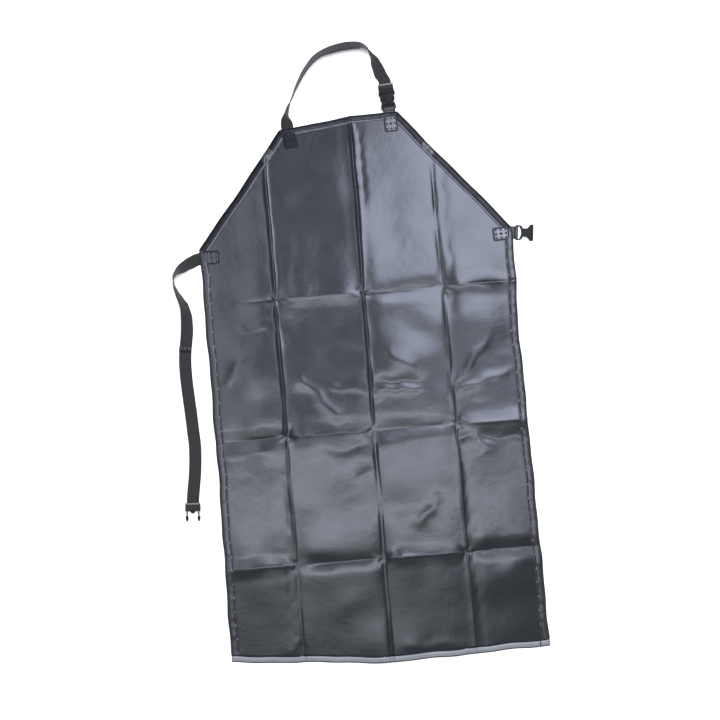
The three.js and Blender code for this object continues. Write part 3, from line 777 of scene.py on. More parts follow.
def make_hem_stitches(name, hem):
    stations = hem_path(hem)
    runs = np.array([run for _, _, run in stations])
    outer = np.array([rippled(name, outer) for outer, _, _ in stations])
    inner = np.array([rippled(name, inner) for _, inner, _ in stations])
    seam = outer + (inner - outer) * STITCH_SHARE
    places = []
    run = STITCH_STEP
    while run < runs[-1] - STITCH_STEP:
        x, y = (float(np.interp(run, runs, seam[:, key])) for key in range(2))
        ahead_x, ahead_y = (float(np.interp(run + 1, runs, seam[:, key])) for key in range(2))
        z = float(sheet_lift(x, y)) + SHEET + STITCH_RISE
        places.append((x, y, z, math.atan2(ahead_y - y, ahead_x - x)))
        run += STITCH_STEP
    points, faces = stitch_mesh(places)
    piece = new_object(name + "_stitches", points, faces)
    per_stitch = len(faces) // len(places)
    for index, polygon in enumerate(piece.data.polygons):
        # Painted glints: every so many stitches get the light thread
        polygon.material_index = int(index // per_stitch % GLINT_STITCH_EVERY[hem["look"]] == 0)
    return piece


# Patches over the webbing ends
PATCH_WIDTH = 28.0
PATCH_LENGTH = 34.0
PATCH_CORNER = 3.0
PATCH_REACH = PATCH_WIDTH / 2 + PATCH_LENGTH / 2 - PATCH_CORNER
# The look column picks the tone: dark and light are darker and lighter copies of the patch sheet, as painted
# shade and painted sheen
PATCHES = named_table("anchor inset turn look", {
    "patch_neck_left": ("neck_left", 6, 99, "dark"),
    "patch_neck_right": ("neck_right", 6, 92, "light"),
    "patch_waist_right": ("waist_right", 7, 3, "light"),
    "patch_waist_left": ("waist_left", 5, 181, "plain"),
})
DOT_SHARES = (-0.31, 0.0, 0.31)
PATCH_CELL = 1.0
DOT_REACH = 1.6
DOT_DEPTH = 1.3
PATCH_HIGH = 1.7
PATCH_ROUND = 1.5
PATCH_EDGE = 0.35
PATCH_UNDER = 0.25
PATCH_OVER = 0.3
SEAM_BORDER = 2.2
SEAM_REACH = 0.8
SEAM_DEPTH = 0.7


def patch_place(patch, aside, inward):
    """Place on the sheet of a point on a patch."""
    anchor = ANCHORS[patch["anchor"]]["at"]
    turn = math.radians(patch["turn"] - 90)
    along = -patch["inset"] - PATCH_LENGTH / 2 - inward
    return (
        anchor[0] + aside * math.cos(turn) - along * math.sin(turn),
        anchor[1] + aside * math.sin(turn) + along * math.cos(turn),
    )


def patch_border(aside, inward):
    """Distance of a point on a patch from the patch's nearest edge."""
    return np.minimum.reduce([
        PATCH_WIDTH / 2 - np.abs(aside),
        PATCH_LENGTH / 2 - np.abs(inward),
        (PATCH_REACH - np.abs(aside) - np.abs(inward)) / math.sqrt(2),
    ])


def dot_distances(aside, inward):
    """Distance of a point on a patch from each of its stitched pits."""
    return [
        np.hypot(aside - across_share * PATCH_WIDTH, inward - along_share * PATCH_LENGTH)
        for across_share in DOT_SHARES for along_share in DOT_SHARES
    ]


def sewn(patch, x, y):
    """True in a patch's pits and along its seam."""
    anchor = ANCHORS[patch["anchor"]]["at"]
    aside, outward = turned(x - anchor[0], y - anchor[1], math.radians(patch["turn"] - 90))
    inward = -outward - patch["inset"] - PATCH_LENGTH / 2
    on_seam = abs(patch_border(aside, inward) - SEAM_BORDER) < SEAM_REACH
    return int(on_seam or min(dot_distances(aside, inward)) < DOT_REACH)


def make_patch(name, patch):
    columns = round(PATCH_WIDTH / PATCH_CELL) + 1
    rows = round(PATCH_LENGTH / PATCH_CELL) + 1
    u = np.linspace(-PATCH_WIDTH / 2, PATCH_WIDTH / 2, columns)
    v = np.linspace(-PATCH_LENGTH / 2, PATCH_LENGTH / 2, rows)
    aside, inward = np.meshgrid(u, v)
    over = np.maximum(np.abs(aside) + np.abs(inward) - PATCH_REACH, 0) / 2
    aside = aside - np.sign(aside) * over
    inward = inward - np.sign(inward) * over
    border = patch_border(aside, inward)
    high = PATCH_HIGH * np.sqrt(np.clip(border / PATCH_ROUND, 0, 1)) + PATCH_EDGE
    high = high - SEAM_DEPTH * np.exp(-(((border - SEAM_BORDER) / SEAM_REACH) ** 2))
    for distance in dot_distances(aside, inward):
        high = high - DOT_DEPTH * np.exp(-((distance / DOT_REACH) ** 2))
    x, y = patch_place(patch, aside, inward)
    floor = sheet_lift(x, y) + SHEET
    piece = closed_sheet(name + "_plate", x, y, floor + PATCH_UNDER, floor + PATCH_OVER + high)
    for polygon in piece.data.polygons:
        centre_x, centre_y, _ = np.array(polygon.center) * 1000 + SHIFT
        polygon.material_index = sewn(patch, centre_x, centre_y)
    return piece


# Webbing
WEB_UNDER_SHEET = 34.0
WEB_STEP = 3.0
BEND_STEP = 1.2
CURVE_PARTS = 24
CUT_SHARE = 0.25
NECK_RISE = 159.0
WAIST_DROP = 497.0
WAIST_SWING = 60.0
DOUBLED = 300.0
FOLD_STATIONS = 4
# Stations covered by the painted shadow strip beside the sewn end
SHADOW_STATIONS = 1
SEAM_SHARES = (-0.32, 0.0, 0.32)
FIRST_PLY = WEB_THICKNESS / 2
SECOND_PLY = FIRST_PLY + WEB_THICKNESS + CLEARANCE

# Buckles, along their own Y axis: the mouth is at zero
SLOT_LENGTH = 4.0
BAR_LENGTH = 2.5
BAR_THICKNESS = 2.2
BASE_BLOCK = 3.0
FEMALE_LENGTH = 35.0
LOOP_SHOW = 7.0
BASE_FRONT = CLEARANCE + 0.2
INNER_SLOT = BASE_FRONT + BASE_BLOCK
MIDDLE_BAR = INNER_SLOT + SLOT_LENGTH
OUTER_SLOT = MIDDLE_BAR + BAR_LENGTH
END_BAR = OUTER_SLOT + SLOT_LENGTH
BASE_END = END_BAR + BAR_LENGTH
MIDDLE_BAR_LOW = WEB_THICKNESS + CLEARANCE
END_BAR_LOW = 2 * WEB_THICKNESS + 3 * CLEARANCE
FEMALE_BAR_LOW = WEB_THICKNESS + 3 * CLEARANCE
LOOP_BAR_END = -FEMALE_LENGTH
LOOP_BAR_FRONT = LOOP_BAR_END + BAR_LENGTH


def female_pose(anchor, base):
    turn = math.radians(anchor["out"])
    reach = LOOP_SHOW + FEMALE_LENGTH
    return {
        "x": anchor["at"][0] + reach * math.cos(turn),
        "y": anchor["at"][1] + reach * math.sin(turn),
        "turn": turn - math.pi / 2,
        "base": base,
    }


NECK_BUCKLE = female_pose(ANCHORS["neck_right"], WEB_THICKNESS + CLEARANCE)
WAIST_CATCH = female_pose(ANCHORS["waist_right"], 0.0)
WAIST_PLUG = {
    "x": ANCHORS["waist_left"]["at"][0] - 0.94 * WAIST_SWING,
    "y": ANCHORS["waist_left"]["at"][1] - WAIST_DROP - BASE_END,
    "turn": math.radians(-3.3),
    "base": 0.0,
}

NECK_ROUTE = table(
    "span rise tilt",
    (0.0, 0.03, 0),
    (0.012, 0.2, 80),
    (0.075, 0.39, 104),
    (0.15, 0.58, 115),
    (0.235, 0.75, 122),
    (0.355, 0.9, 132),
    (0.5, 0.97, 143),
    (0.645, 1.0, 147),
    (0.755, 0.995, 142),
    (0.825, 0.96, 120),
    (0.872, 0.865, 84),
    (0.92, 0.725, 40),
    (0.96, 0.59, 8),
)
WAIST_ROUTE = table(
    "out down tilt",
    (0.06, 0.001, 0),
    (0.28, 0.01, 4),
    (0.58, 0.028, 24),
    (0.9, 0.058, 62),
    (0.955, 0.09, 84),
    (0.885, 0.125, 98),
    (0.77, 0.158, 112),
    (0.655, 0.192, 128),
    (0.62, 0.246, 150),
    (0.68, 0.315, 172),
    (0.77, 0.376, 180),
    (0.81, 0.438, 180),
    (0.8, 0.52, 180),
    (0.75, 0.625, 180),
    (0.72, 0.707, 180),
    (0.7, 0.77, 180),
    (0.765, 0.872, 180),
    (0.87, 0.95, 180),
)


def under_sheet(anchor, depth):
    turn = math.radians(anchor["out"])
    return (anchor["at"][0] - depth * math.cos(turn), anchor["at"][1] - depth * math.sin(turn), 0.0)


def between(value, start, end, first, last):
    """What lies between a first and a last one, where a value lies between a start and an end."""
    return (end - value) / (end - start) * first + (value - start) / (end - start) * last


def evenly(even, run, rows):
    """Rows of three values at even distances, from rows at given distances."""
    return np.stack([np.interp(even, run, rows[:, key]) for key in range(3)], 1)


def curve_points(route):
    """Even stations along a smooth curve through x, y and tilt, spaced by the root of the distance."""
    places = [np.array(point[:2]) for point in route]
    places = [2 * places[0] - places[1]] + places + [2 * places[-1] - places[-2]]
    dense = []
    for index in range(1, len(places) - 2):
        near = places[index - 1:index + 3]
        knots = [0.0]
        for before, after in zip(near, near[1:]):
            knots.append(knots[-1] + math.sqrt(np.hypot(*(after - before))))
        for part in range(CURVE_PARTS):
            share = part / CURVE_PARTS
            value = knots[1] + (knots[2] - knots[1]) * share
            level = near
            for reach in (1, 2):
                level = [
                    between(value, knots[key], knots[key + reach], level[key], level[key + 1])
                    for key in range(len(near) - reach)
                ]
            place = between(value, knots[1], knots[2], *level)
            eased_share = share * share * (3 - 2 * share)
            tilt = route[index - 1][2] + (route[index][2] - route[index - 1][2]) * eased_share
            dense.append((place[0], place[1], tilt))
    dense.append(tuple(route[-1]))
    dense = np.array(dense)
    run = np.concatenate([[0], np.cumsum(np.hypot(*np.diff(dense[:, :2], axis=0).T))])
    return evenly(np.linspace(0, run[-1], round(run[-1] / WEB_STEP) + 1), run, dense)


def floor_stations(route):
    """Stations of a strap on the floor: place and the direction across the strap."""
    points = curve_points(route)
    ahead = np.gradient(points[:, :2], axis=0)
    ahead /= np.hypot(ahead[:, 0], ahead[:, 1])[:, None]
    tilt = np.radians(points[:, 2])
    stations = []
    for (x, y, _), (dx, dy), turn in zip(points, ahead, tilt):
        across = np.array([-dy * math.cos(turn), dx * math.cos(turn), math.sin(turn)])
        high = WEB_WIDTH / 2 * abs(math.sin(turn)) + WEB_THICKNESS / 2 * abs(math.cos(turn))
        stations.append((np.array([x, y, high]), across))
    return stations


def buckle_stations(pose, path):
    across = np.array([math.cos(pose["turn"]), math.sin(pose["turn"]), 0.0])
    forward = np.array([-math.sin(pose["turn"]), math.cos(pose["turn"]), 0.0])
    base = np.array([pose["x"], pose["y"], pose["base"]])
    return [(base + forward * along + np.array([0, 0, height]), across) for along, height in path]


def cut_corners(rows):
    """Each corner of a line cut off at a share of the way to its neighbours."""
    cut = [rows[0]]
    for before, after in zip(rows, rows[1:]):
        cut.append((1 - CUT_SHARE) * before + CUT_SHARE * after)
        cut.append(CUT_SHARE * before + (1 - CUT_SHARE) * after)
    return np.array(cut + [rows[-1]])


def smooth_stations(stations):
    """Rounds the corners of a short path of stations."""
    places, across = (np.array(rows) for rows in zip(*stations))
    for _ in range(2):
        places = cut_corners(places)
        across = cut_corners(across)
    run = distance_run(places)
    even = np.linspace(0, run[-1], max(3, round(run[-1] / BEND_STEP) + 1))
    places, across = (evenly(even, run, rows) for rows in (places, across))
    across /= np.linalg.norm(across, axis=1)[:, None]
    return list(zip(places, across))


WEB_SECTION = 9
WEB_FLAT = 0.75
WEB_THINNED = 0.65


def strip(name, stations, thickness=WEB_THICKNESS):
    """A flat strip with rounded edges through stations, with its length and width as a UV map in metres."""
    places, across = (np.array(rows) for rows in zip(*stations))
    ahead = np.gradient(places, axis=0)
    ahead /= np.linalg.norm(ahead, axis=1)[:, None]
    through = np.cross(across, ahead)
    through /= np.linalg.norm(through, axis=1)[:, None]
    shares = np.linspace(-1, 1, WEB_SECTION)
    section = []
    for side in (-1, 1):
        for share in shares if side < 0 else shares[::-1]:
            edge = 1 - WEB_THINNED * max(0.0, (abs(share) - WEB_FLAT) / (1 - WEB_FLAT)) ** 2
            section.append((share * WEB_WIDTH / 2, side * thickness / 2 * edge))
    points = []
    uvs = []
    for place, side, rise, length in zip(places, across, through, distance_run(places)):
        for aside, high in section:
            points.append(place + side * aside + rise * high)
            uvs.append((aside / 1000, length / 1000))
    piece = new_object(name, points, tube_faces(len(places), len(section)))
    layer = piece.data.uv_layers.new(name="UVMap")
    for polygon in piece.data.polygons:
        for loop in polygon.loop_indices:
            layer.data[loop].uv = uvs[piece.data.loops[loop].vertex_index]
    return piece


OVER_BAR = MIDDLE_BAR_LOW + BAR_THICKNESS + CLEARANCE + FIRST_PLY
BAR_CENTRE = (MIDDLE_BAR + OUTER_SLOT) / 2
BAR_WRAP = BAR_LENGTH / 2 + CLEARANCE + FIRST_PLY
UNDER_END_BAR = END_BAR_LOW - CLEARANCE - FIRST_PLY


def make_neck_strap():
    """The neck strap: over the floor, then over and under the bars of the neck buckle."""
    start = ANCHORS["neck_left"]
    span = NECK_BUCKLE["x"] - start["at"][0]
    route = [under_sheet(start, WEB_UNDER_SHEET), under_sheet(start, WEB_UNDER_SHEET / 2)]
    for point in NECK_ROUTE:
        y = start["at"][1] + point["rise"] * NECK_RISE
        route.append((start["at"][0] + point["span"] * span, y, point["tilt"]))
    below = FIRST_PLY - NECK_BUCKLE["base"]
    weave = buckle_stations(NECK_BUCKLE, [
        (BASE_END + 9, below + 0.8), (BASE_END + 3, below + 2), (END_BAR + BAR_LENGTH / 2, UNDER_END_BAR),
        (END_BAR - 0.6, UNDER_END_BAR), (OUTER_SLOT + 0.4, OVER_BAR), (MIDDLE_BAR - 0.4, OVER_BAR),
        (MIDDLE_BAR - 1.7, OVER_BAR - 1.2), (MIDDLE_BAR - 2.1, MIDDLE_BAR_LOW), (INNER_SLOT + 1.1, below + 1),
        (BASE_FRONT - 1, below), (-FEMALE_LENGTH * 0.5, below), (LOOP_BAR_FRONT, below),
    ])
    stations = floor_stations(route)
    return strip("neck_webbing", stations + smooth_stations([stations[-1]] + weave)[1:])


def waist_strand():
    """The waist strap's single run, from under the sheet to the plug."""
    start = ANCHORS["waist_left"]
    route = [under_sheet(start, WEB_UNDER_SHEET), under_sheet(start, WEB_UNDER_SHEET / 2)]
    for point in WAIST_ROUTE:
        x = start["at"][0] - point["out"] * WAIST_SWING
        route.append((x, start["at"][1] - point["down"] * WAIST_DROP, point["tilt"]))
    return floor_stations(route)


def doubled_back(strand):
    """The strap's second run, from the plug back to its sewn end."""
    doubled = []
    for place, across in reversed(strand[-round(DOUBLED / WEB_STEP):]):
        doubled.append((np.array([place[0], place[1], SECOND_PLY]), across))
    return doubled


def raised(stations, height):
    return [(place + np.array([0, 0, height]), across) for place, across in stations]


def make_sewn_end(doubled):
    """The second run's end, folded over, with a thin black strip beside the fold as painted shadow and a row
    of stitches across it in the light thread as painted glint.
    """
    rise = WEB_THICKNESS + CLEARANCE
    fold = strip("waist_webbing_fold", raised(doubled[-FOLD_STATIONS:], rise))
    # A thin black strip just past the folded end: painted shadow of its step
    beside = doubled[-FOLD_STATIONS - SHADOW_STATIONS:-FOLD_STATIONS + 1]
    painted_shadow_strip = strip("waist_webbing_painted_shadow", raised(beside, rise / 2 + CLEARANCE), CLEARANCE)
    place, across = doubled[-FOLD_STATIONS // 2]
    high = SECOND_PLY + rise + WEB_THICKNESS / 2
    turn = math.atan2(across[1], across[0])
    spots = [place + across * share * WEB_WIDTH for share in SEAM_SHARES]
    points, faces = stitch_mesh([(spot[0], spot[1], high, turn) for spot in spots])
    return fold, painted_shadow_strip, new_object("waist_webbing_seam", points, faces)


def make_waist_strap():
    """The waist strap: down to the plug, round its bar and back."""
    strand = waist_strand()
    wrap = buckle_stations(WAIST_PLUG, [
        (BASE_END + 4, FIRST_PLY), (OUTER_SLOT, FIRST_PLY), (BAR_CENTRE - BAR_WRAP - 0.4, FIRST_PLY),
        (BAR_CENTRE - BAR_WRAP - 1.6, 2 * FIRST_PLY), (BAR_CENTRE - BAR_WRAP - 1.9, OVER_BAR - 2.2),
        (BAR_CENTRE - BAR_WRAP - 0.9, OVER_BAR - 0.45), (BAR_CENTRE - 0.9, OVER_BAR),
        (BAR_CENTRE + 1.2, OVER_BAR), (OUTER_SLOT + 1.6, OVER_BAR - 1.05), (END_BAR - 0.5, SECOND_PLY + 0.1),
        (END_BAR, SECOND_PLY), (BASE_END + 4, SECOND_PLY),
    ])
    wrap = [(place, -across) for place, across in wrap]
    doubled = doubled_back(strand)
    middle = smooth_stations([strand[-1]] + wrap + [doubled[0]])
    return strip("waist_webbing", strand + middle[1:-1] + doubled)


def make_loop(name, pose):
    """A loop from under the sheet round a female half's bar and back, as distance along and height."""
    edge = LOOP_BAR_END - LOOP_SHOW
    bar_top = FEMALE_BAR_LOW + BAR_THICKNESS + CLEARANCE + FIRST_PLY
    low = FIRST_PLY - pose["base"]
    under = FEMALE_BAR_LOW - CLEARANCE - FIRST_PLY
    upper = low + WEB_THICKNESS + CLEARANCE
    path = buckle_stations(pose, [
        (edge - WEB_UNDER_SHEET, low), (edge + 2, low), (LOOP_BAR_END - 1, under),
        (LOOP_BAR_FRONT - 0.2, under), (LOOP_BAR_FRONT + 1.2, under + 1),
        (LOOP_BAR_FRONT + 1.5, (under + bar_top) / 2), (LOOP_BAR_FRONT + 1.0, bar_top - 1),
        (LOOP_BAR_FRONT - 0.2, bar_top), (LOOP_BAR_END - 0.5, bar_top - 0.4),
        (edge + 2, upper), (edge - WEB_UNDER_SHEET, upper),
    ])
    return strip(name, smooth_stations(path))


# Buckle halves: the imported solids with their edges rounded; the rounded edges and the male half's end bar
# are light grey, as painted highlight
BUCKLES = {
    "neck_buckle_female": NECK_BUCKLE,
    "neck_buckle_male": NECK_BUCKLE,
    "waist_buckle_female": WAIST_CATCH,
    "waist_buckle_male": WAIST_PLUG,
}
ROUNDED = 0.0008
FLAT_ANGLE = math.radians(1.0)
SHARP_ANGLE = math.radians(28.0)
SAME_PLACE = 1e-6
BEVEL_ROUND = 0.6


def make_moulded(name, pose):
    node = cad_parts[name]
    pose_place = Vector(((pose["x"] - SHIFT[0]) / 1000, (pose["y"] - SHIFT[1]) / 1000, 0))
    pose_ahead = Vector((-math.sin(pose["turn"]), math.cos(pose["turn"]), 0))
    shape = bmesh.new()
    shape.from_mesh(node.data)
    bmesh.ops.remove_doubles(shape, verts=shape.verts, dist=SAME_PLACE)
    bmesh.ops.dissolve_limit(shape, angle_limit=FLAT_ANGLE, verts=shape.verts, edges=shape.edges)
    sharp = [edge for edge in shape.edges if edge.is_manifold and edge.calc_face_angle() > SHARP_ANGLE]
    rounded = bmesh.ops.bevel(
        shape, geom=sharp, offset=ROUNDED, segments=2, profile=BEVEL_ROUND, affect="EDGES",
        clamp_overlap=True,
    )
    # The rounded edges take the light grey material: painted highlight
    for face in rounded["faces"]:
        face.material_index = 1
    bmesh.ops.triangulate(shape, faces=[face for face in shape.faces if len(face.verts) > 4])
    # Faces of the male half past its end bar take it too: painted highlight on the bar
    for face in shape.faces:
        along = (node.matrix_world @ face.calc_center_median() - pose_place).dot(pose_ahead) * 1000
        if name.endswith("_male") and along > END_BAR:
            face.material_index = 1
    mesh = bpy.data.meshes.new(name + "_moulded")
    shape.to_mesh(mesh)
    shape.free()
    mesh.shade_smooth()
    mesh.set_sharp_from_angle(angle=SHARP_ANGLE)
    piece = linked(name + "_moulded", mesh)
    piece.matrix_world = node.matrix_world
    return piece


# Materials
def node_tree(name):
    material = bpy.data.materials.new(name)
    material.use_nodes = True
    tree = material.node_tree
    return material, tree, tree.nodes["Principled BSDF"]


def fill(tree, node, values):
    """Sets the inputs of a node, or links them where the value is another node's output."""
    for key, value in values.items():
        if isinstance(value, bpy.types.NodeSocket):
            tree.links.new(value, node.inputs[key])
        else:
            node.inputs[key].default_value = value


def new_node(tree, kind, values, result):
    node = tree.nodes.new("ShaderNode" + kind)
    if kind == "Mix":
        node.data_type = "RGBA"
    fill(tree, node, values)
    return node.outputs[result]


def mixed_colour(tree, factor, first, second):
    return new_node(tree, "Mix", {"Factor": factor, "A": (*first, 1), "B": (*second, 1)}, "Result")


def noise_of(tree, place, scale, detail=3.0, rough=0.5):
    values = {"Scale": scale, "Detail": detail, "Roughness": rough, "Vector": place}
    return new_node(tree, "TexNoise", values, "Fac")


def bumped(tree, height, strength, distance, before=None):
    values = {"Strength": strength, "Distance": distance, "Height": height}
    if before is not None:
        values["Normal"] = before
    return new_node(tree, "Bump", values, "Normal")


def ranged(tree, value, low, high):
    return new_node(tree, "MapRange", {"To Min": low, "To Max": high, "Value": value}, "Result")


SHINE_CHANGE = 0.04


def sheet_material(name, dark, light, roughness, grain=0.25, refraction=1.53):
    """Coated sheet: fine leather grain, soft dents and a satin shine that varies a little."""
    material, tree, shader = node_tree(name)
    place = new_node(tree, "TexCoord", {}, "Object")
    dents = bumped(tree, noise_of(tree, place, 70, 3, 0.6), 0.3, 0.001)
    patchy = noise_of(tree, place, 32, 4, 0.6)
    fill(tree, shader, {
        "Base Color": mixed_colour(tree, noise_of(tree, place, 14, 3), dark, light),
        "Roughness": ranged(tree, patchy, roughness - SHINE_CHANGE, roughness + SHINE_CHANGE),
        "IOR": refraction,
        "Normal": bumped(tree, noise_of(tree, place, 1100, 2, 0.6), grain, 0.0002, dents),
    })
    return material


def wave_of(tree, place, axis, scale):
    texture = tree.nodes.new("ShaderNodeTexWave")
    texture.bands_direction = axis
    texture.wave_profile = "SIN"
    fill(tree, texture, {"Scale": scale, "Distortion": 0.0, "Vector": place})
    return texture.outputs["Fac"]


def webbing_material():
    """Polypropylene webbing: ribs across the strap crossed by its lengthwise yarns."""
    material, tree, shader = node_tree("webbing")
    place = new_node(tree, "TexCoord", {}, "UV")
    both = tree.nodes.new("ShaderNodeMath")
    both.operation = "MULTIPLY"
    fill(tree, both, {0: wave_of(tree, place, "Y", 190), 1: wave_of(tree, place, "X", 330)})
    weave = both.outputs["Value"]
    fill(tree, shader, {
        # Colour follows the weave: lighter on its ribs, darker in its hollows as painted shade
        "Base Color": mixed_colour(tree, weave, (0.011, 0.011, 0.011), (0.066, 0.067, 0.067)),
        "Roughness": 0.66,
        "IOR": 1.28,
        "Sheen Weight": 0.08,
        "Sheen Roughness": 0.4,
        "Normal": bumped(tree, weave, 0.8, 0.0006),
    })
    return material


def buckle_material(name, dark, light):
    """Moulded acetal: a faint spark-eroded grain."""
    material, tree, shader = node_tree(name)
    place = new_node(tree, "TexCoord", {}, "Object")
    broad = noise_of(tree, place, 60, 2)
    fill(tree, shader, {
        "Base Color": mixed_colour(tree, broad, dark, light),
        "Roughness": ranged(tree, broad, 0.34, 0.44),
        "IOR": 1.2,
        "Normal": bumped(tree, noise_of(tree, place, 1800, 2, 0.6), 0.2, 0.0001),
    })
    return material


def thread_material(name, dark, light):
    """Twisted sewing thread."""
    material, tree, shader = node_tree(name)
    twist = noise_of(tree, new_node(tree, "TexCoord", {}, "Object"), 2500, 2, 0.7)
    fill(tree, shader, {
        # Colour follows the twist's bumps, darker in its grooves as painted shade
        "Base Color": mixed_colour(tree, twist, dark, light),
        "Roughness": 0.5,
        "IOR": 1.2,
        "Normal": bumped(tree, twist, 0.4, 0.0002),
    })
    return material


def floor_material():
    material, tree, shader = node_tree("floor")
    fill(tree, shader, {"Base Color": (0.92, 0.9, 0.86, 1), "Roughness": 0.9, "Specular IOR Level": 0.1})
    return material


SHEET_BLACK = sheet_material("coated_sheet", (0.008, 0.009, 0.010), (0.013, 0.014, 0.016), 0.225)
# Darker, duller copy of the sheet: painted shade on the rolled bib hems, and painted shadow on the bottom
# hem's lip, rim and corner line
HEM_ROLLED = sheet_material("coated_roll", (0.003, 0.003, 0.004), (0.006, 0.006, 0.008), 0.34, 0.4, 1.29)
# Darker copy of the sheet: painted shade on the top hem
HEM_TOP = sheet_material("coated_top", (0.006, 0.006, 0.008), (0.010, 0.011, 0.014), 0.36, 0.4, 1.38)
# A little lighter than the sheet; as the lip of the rolled and top hems and at the rolled hems' puckers it is
# painted highlight
HEM_SIDE = sheet_material("coated_hem", (0.012, 0.012, 0.013), (0.022, 0.023, 0.025), 0.28, 0.4, 1.52)
# Copy of the sheet many times lighter: painted sheen on the bottom hem
HEM_PAINTED_SHEEN = sheet_material("coated_hem_painted_sheen", (0.11, 0.114, 0.12), (0.18, 0.185, 0.195), 0.3, 0.4)
PATCH_BLACK = sheet_material("coated_patch", (0.012, 0.013, 0.015), (0.02, 0.021, 0.024), 0.3, 0.4)
# Darker, duller copy of the patch: painted shade
PATCH_PAINTED_SHADE = sheet_material(
    "coated_patch_painted_shade", (0.004, 0.004, 0.005), (0.008, 0.008, 0.009), 0.45, 0.4, 1.28,
)
# Lighter copy of the patch: painted sheen
PATCH_PAINTED_SHEEN = sheet_material("coated_patch_painted_sheen", (0.045, 0.046, 0.052), (0.075, 0.077, 0.086), 0.26, 0.4)
WEBBING = webbing_material()
BUCKLE = buckle_material("buckle_plastic", (0.004, 0.004, 0.004), (0.008, 0.008, 0.008))
# Light grey copy of the buckle plastic: painted highlight on rounded edges and the end bar
BUCKLE_PAINTED_HIGHLIGHT = buckle_material("buckle_painted_highlight", (0.13, 0.131, 0.133), (0.2, 0.201, 0.203))
THREAD = thread_material("thread", (0.004, 0.004, 0.005), (0.012, 0.012, 0.014))
# Light copy of the thread: painted glint on stitches
PAINTED_GLINT_THREAD = thread_material("painted_glint_thread", (0.3, 0.305, 0.32), (0.5, 0.51, 0.53))


def finish_piece(piece, looks, slot, *nodes):
    for material in looks if isinstance(looks, tuple) else (looks,):
        piece.data.materials.append(material)
    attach(piece, "root")
    if nodes:
        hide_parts(*nodes)
    return piece


# A hem's own look, and the look of its lip inside the seam: darker and lighter copies of the coated sheet, as
# painted shade and painted highlight
HEM_LOOKS = {
    # Rolled hems: darker copy as painted shade, lip in a lighter copy as painted highlight
    "rolled": (HEM_ROLLED, HEM_SIDE),
    # Top hem: darker copy as painted shade, lip in a lighter copy as painted highlight
    "top": (HEM_TOP, HEM_SIDE),
    "side": (HEM_SIDE, HEM_SIDE),
    # Bottom hem: much lighter copy as painted sheen; lip, rim and corner line in the dark copy as painted
    # shadow
    "bottom": (HEM_PAINTED_SHEEN, HEM_ROLLED),
}

# Dark patch in painted shade, light patches in painted sheen, plain in the patch's own tone
PATCH_LOOKS = {"dark": PATCH_PAINTED_SHADE, "light": PATCH_PAINTED_SHEEN, "plain": PATCH_BLACK}

panel = finish_piece(make_panel(), SHEET_BLACK, "sheet", "apron_panel")
for hem_name, hem in HEMS.items():
    finish_piece(make_hem(hem_name, hem), HEM_LOOKS[hem["look"]], "hem", hem_name)
    finish_piece(make_hem_stitches(hem_name, hem), (THREAD, PAINTED_GLINT_THREAD), "hem")
for patch_name, patch in PATCHES.items():
    looks = (PATCH_LOOKS[patch["look"]], THREAD)
    finish_piece(make_patch(patch_name, patch), looks, "patch", patch_name)
finish_piece(make_neck_strap(), WEBBING, "webbing", "neck_strap")
finish_piece(make_waist_strap(), WEBBING, "webbing", "waist_strap")
# The sewn end: its thin black strip is painted shadow, its stitches painted glints
fold, painted_shadow_strip, seam = make_sewn_end(doubled_back(waist_strand()))
finish_piece(fold, WEBBING, "webbing")
finish_piece(painted_shadow_strip, THREAD, "webbing")
finish_piece(seam, PAINTED_GLINT_THREAD, "webbing")
finish_piece(make_loop("neck_holding_loop", NECK_BUCKLE), PATCH_BLACK, "patch", "neck_loop")
finish_piece(make_loop("waist_holding_loop", WAIST_CATCH), PATCH_BLACK, "patch", "waist_loop")
for buckle_name, pose in BUCKLES.items():
    finish_piece(make_moulded(buckle_name, pose), (BUCKLE, BUCKLE_PAINTED_HIGHLIGHT), "buckle", buckle_name)

# Camera: straight down on the apron, turned so that the apron leans as it does in the picture
FRAME_WIDTH = 1.476
CAMERA_HEIGHT = 2.05
SENSOR = 36.0
APRON_LEAN = math.radians(4.6)
VIEW_CENTRE = np.array([-12.0, 61.9, 0.0])

camera_data = bpy.data.cameras.new("camera")
camera_data.sensor_width = SENSOR
camera_data.lens = SENSOR * CAMERA_HEIGHT / FRAME_WIDTH
camera = linked("camera", camera_data)
centre = (VIEW_CENTRE - SHIFT) / 1000
camera.location = (centre[0], centre[1], CAMERA_HEIGHT)
camera.rotation_euler = (0, 0, -APRON_LEAN)
bpy.context.scene.camera = camera

# Floor and light
FLOOR_HALF = 6.0
floor_mesh = bpy.data.meshes.new("floor")
floor_corners = [(x * FLOOR_HALF, y * FLOOR_HALF, 0) for x, y in ((-1, -1), (1, -1), (1, 1), (-1, 1))]
floor_mesh.from_pydata(floor_corners, [], [(0, 1, 2, 3)])
floor = linked("floor", floor_mesh)
floor_mesh.materials.append(floor_material())


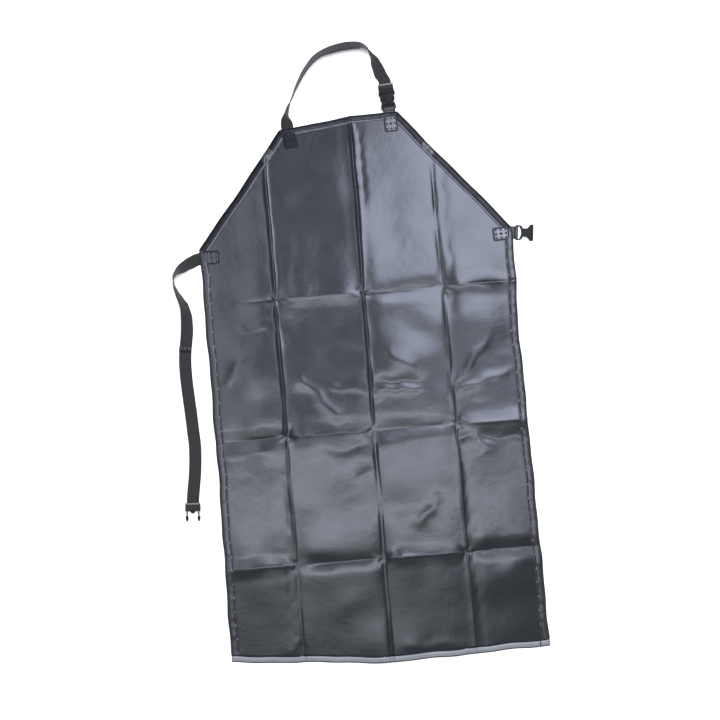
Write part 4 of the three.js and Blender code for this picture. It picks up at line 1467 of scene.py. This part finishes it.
def soft_light(name, size, power, colour):
    data = bpy.data.lights.new(name, "AREA")
    data.shape = "RECTANGLE"
    data.size, data.size_y = size
    data.energy = power
    data.color = colour
    light = linked(name, data)
    light.visible_camera = False
    return light


def area_light(name, azimuth, elevation, distance, size, power, glossy=True):
    """A soft light that faces the apron's middle, with azimuth from +X towards +Y."""
    light = soft_light(name, size, power, (1, 1, 1))
    turn, rise = math.radians(azimuth), math.radians(elevation)
    away = Vector((math.cos(turn) * math.cos(rise), math.sin(turn) * math.cos(rise), math.sin(rise)))
    light.location = away * distance
    light.rotation_euler = (-away).to_track_quat("-Z", "Y").to_euler()
    light.visible_glossy = glossy


PANEL_LIGHT_HEIGHT = 2.6


def panel_light(name, middle, size, radiance, colour, turn):
    """A large soft panel that hangs level over the apron, with its middle and size in metres."""
    light = soft_light(name, size, radiance * math.pi * size[0] * size[1], colour)
    light.location = (*middle, PANEL_LIGHT_HEIGHT)
    light.rotation_euler = (0, 0, math.radians(turn))


panel_light("key", (0.75, 0.81), (1.22, 1.26), 9.0, (0.8, 0.87, 1.1), -6)
panel_light("key_low", (0.74, 0.05), (1.12, 0.28), 4.0, (0.8, 0.87, 1.1), -6)
panel_light("left", (-0.85, 0.5), (0.52, 1.3), 3.6, (0.86, 0.93, 1.08), -4)
panel_light("strip", (0.0, -0.52), (1.8, 0.22), 12.5, (0.86, 0.91, 1.07), -4)
panel_light("lower", (-0.4, -0.98), (1.6, 0.66), 1.9, (0.88, 0.97, 1.0), -4)
area_light("shadow", 130, 48, 3.2, (0.8, 0.8), 30, glossy=False)
area_light("low", -92, 22, 3.0, (2.6, 0.9), 30)
area_light("floor_fill", 60, 70, 3.4, (3.0, 3.0), 110, glossy=False)

world = bpy.data.worlds.new("world")
world.use_nodes = True
sky = world.node_tree.nodes["Background"]
fill(world.node_tree, sky, {"Color": (0.86, 0.89, 1.0, 1), "Strength": 0.22})
bpy.context.scene.world = world
bpy.context.scene.view_settings.view_transform = "Standard"
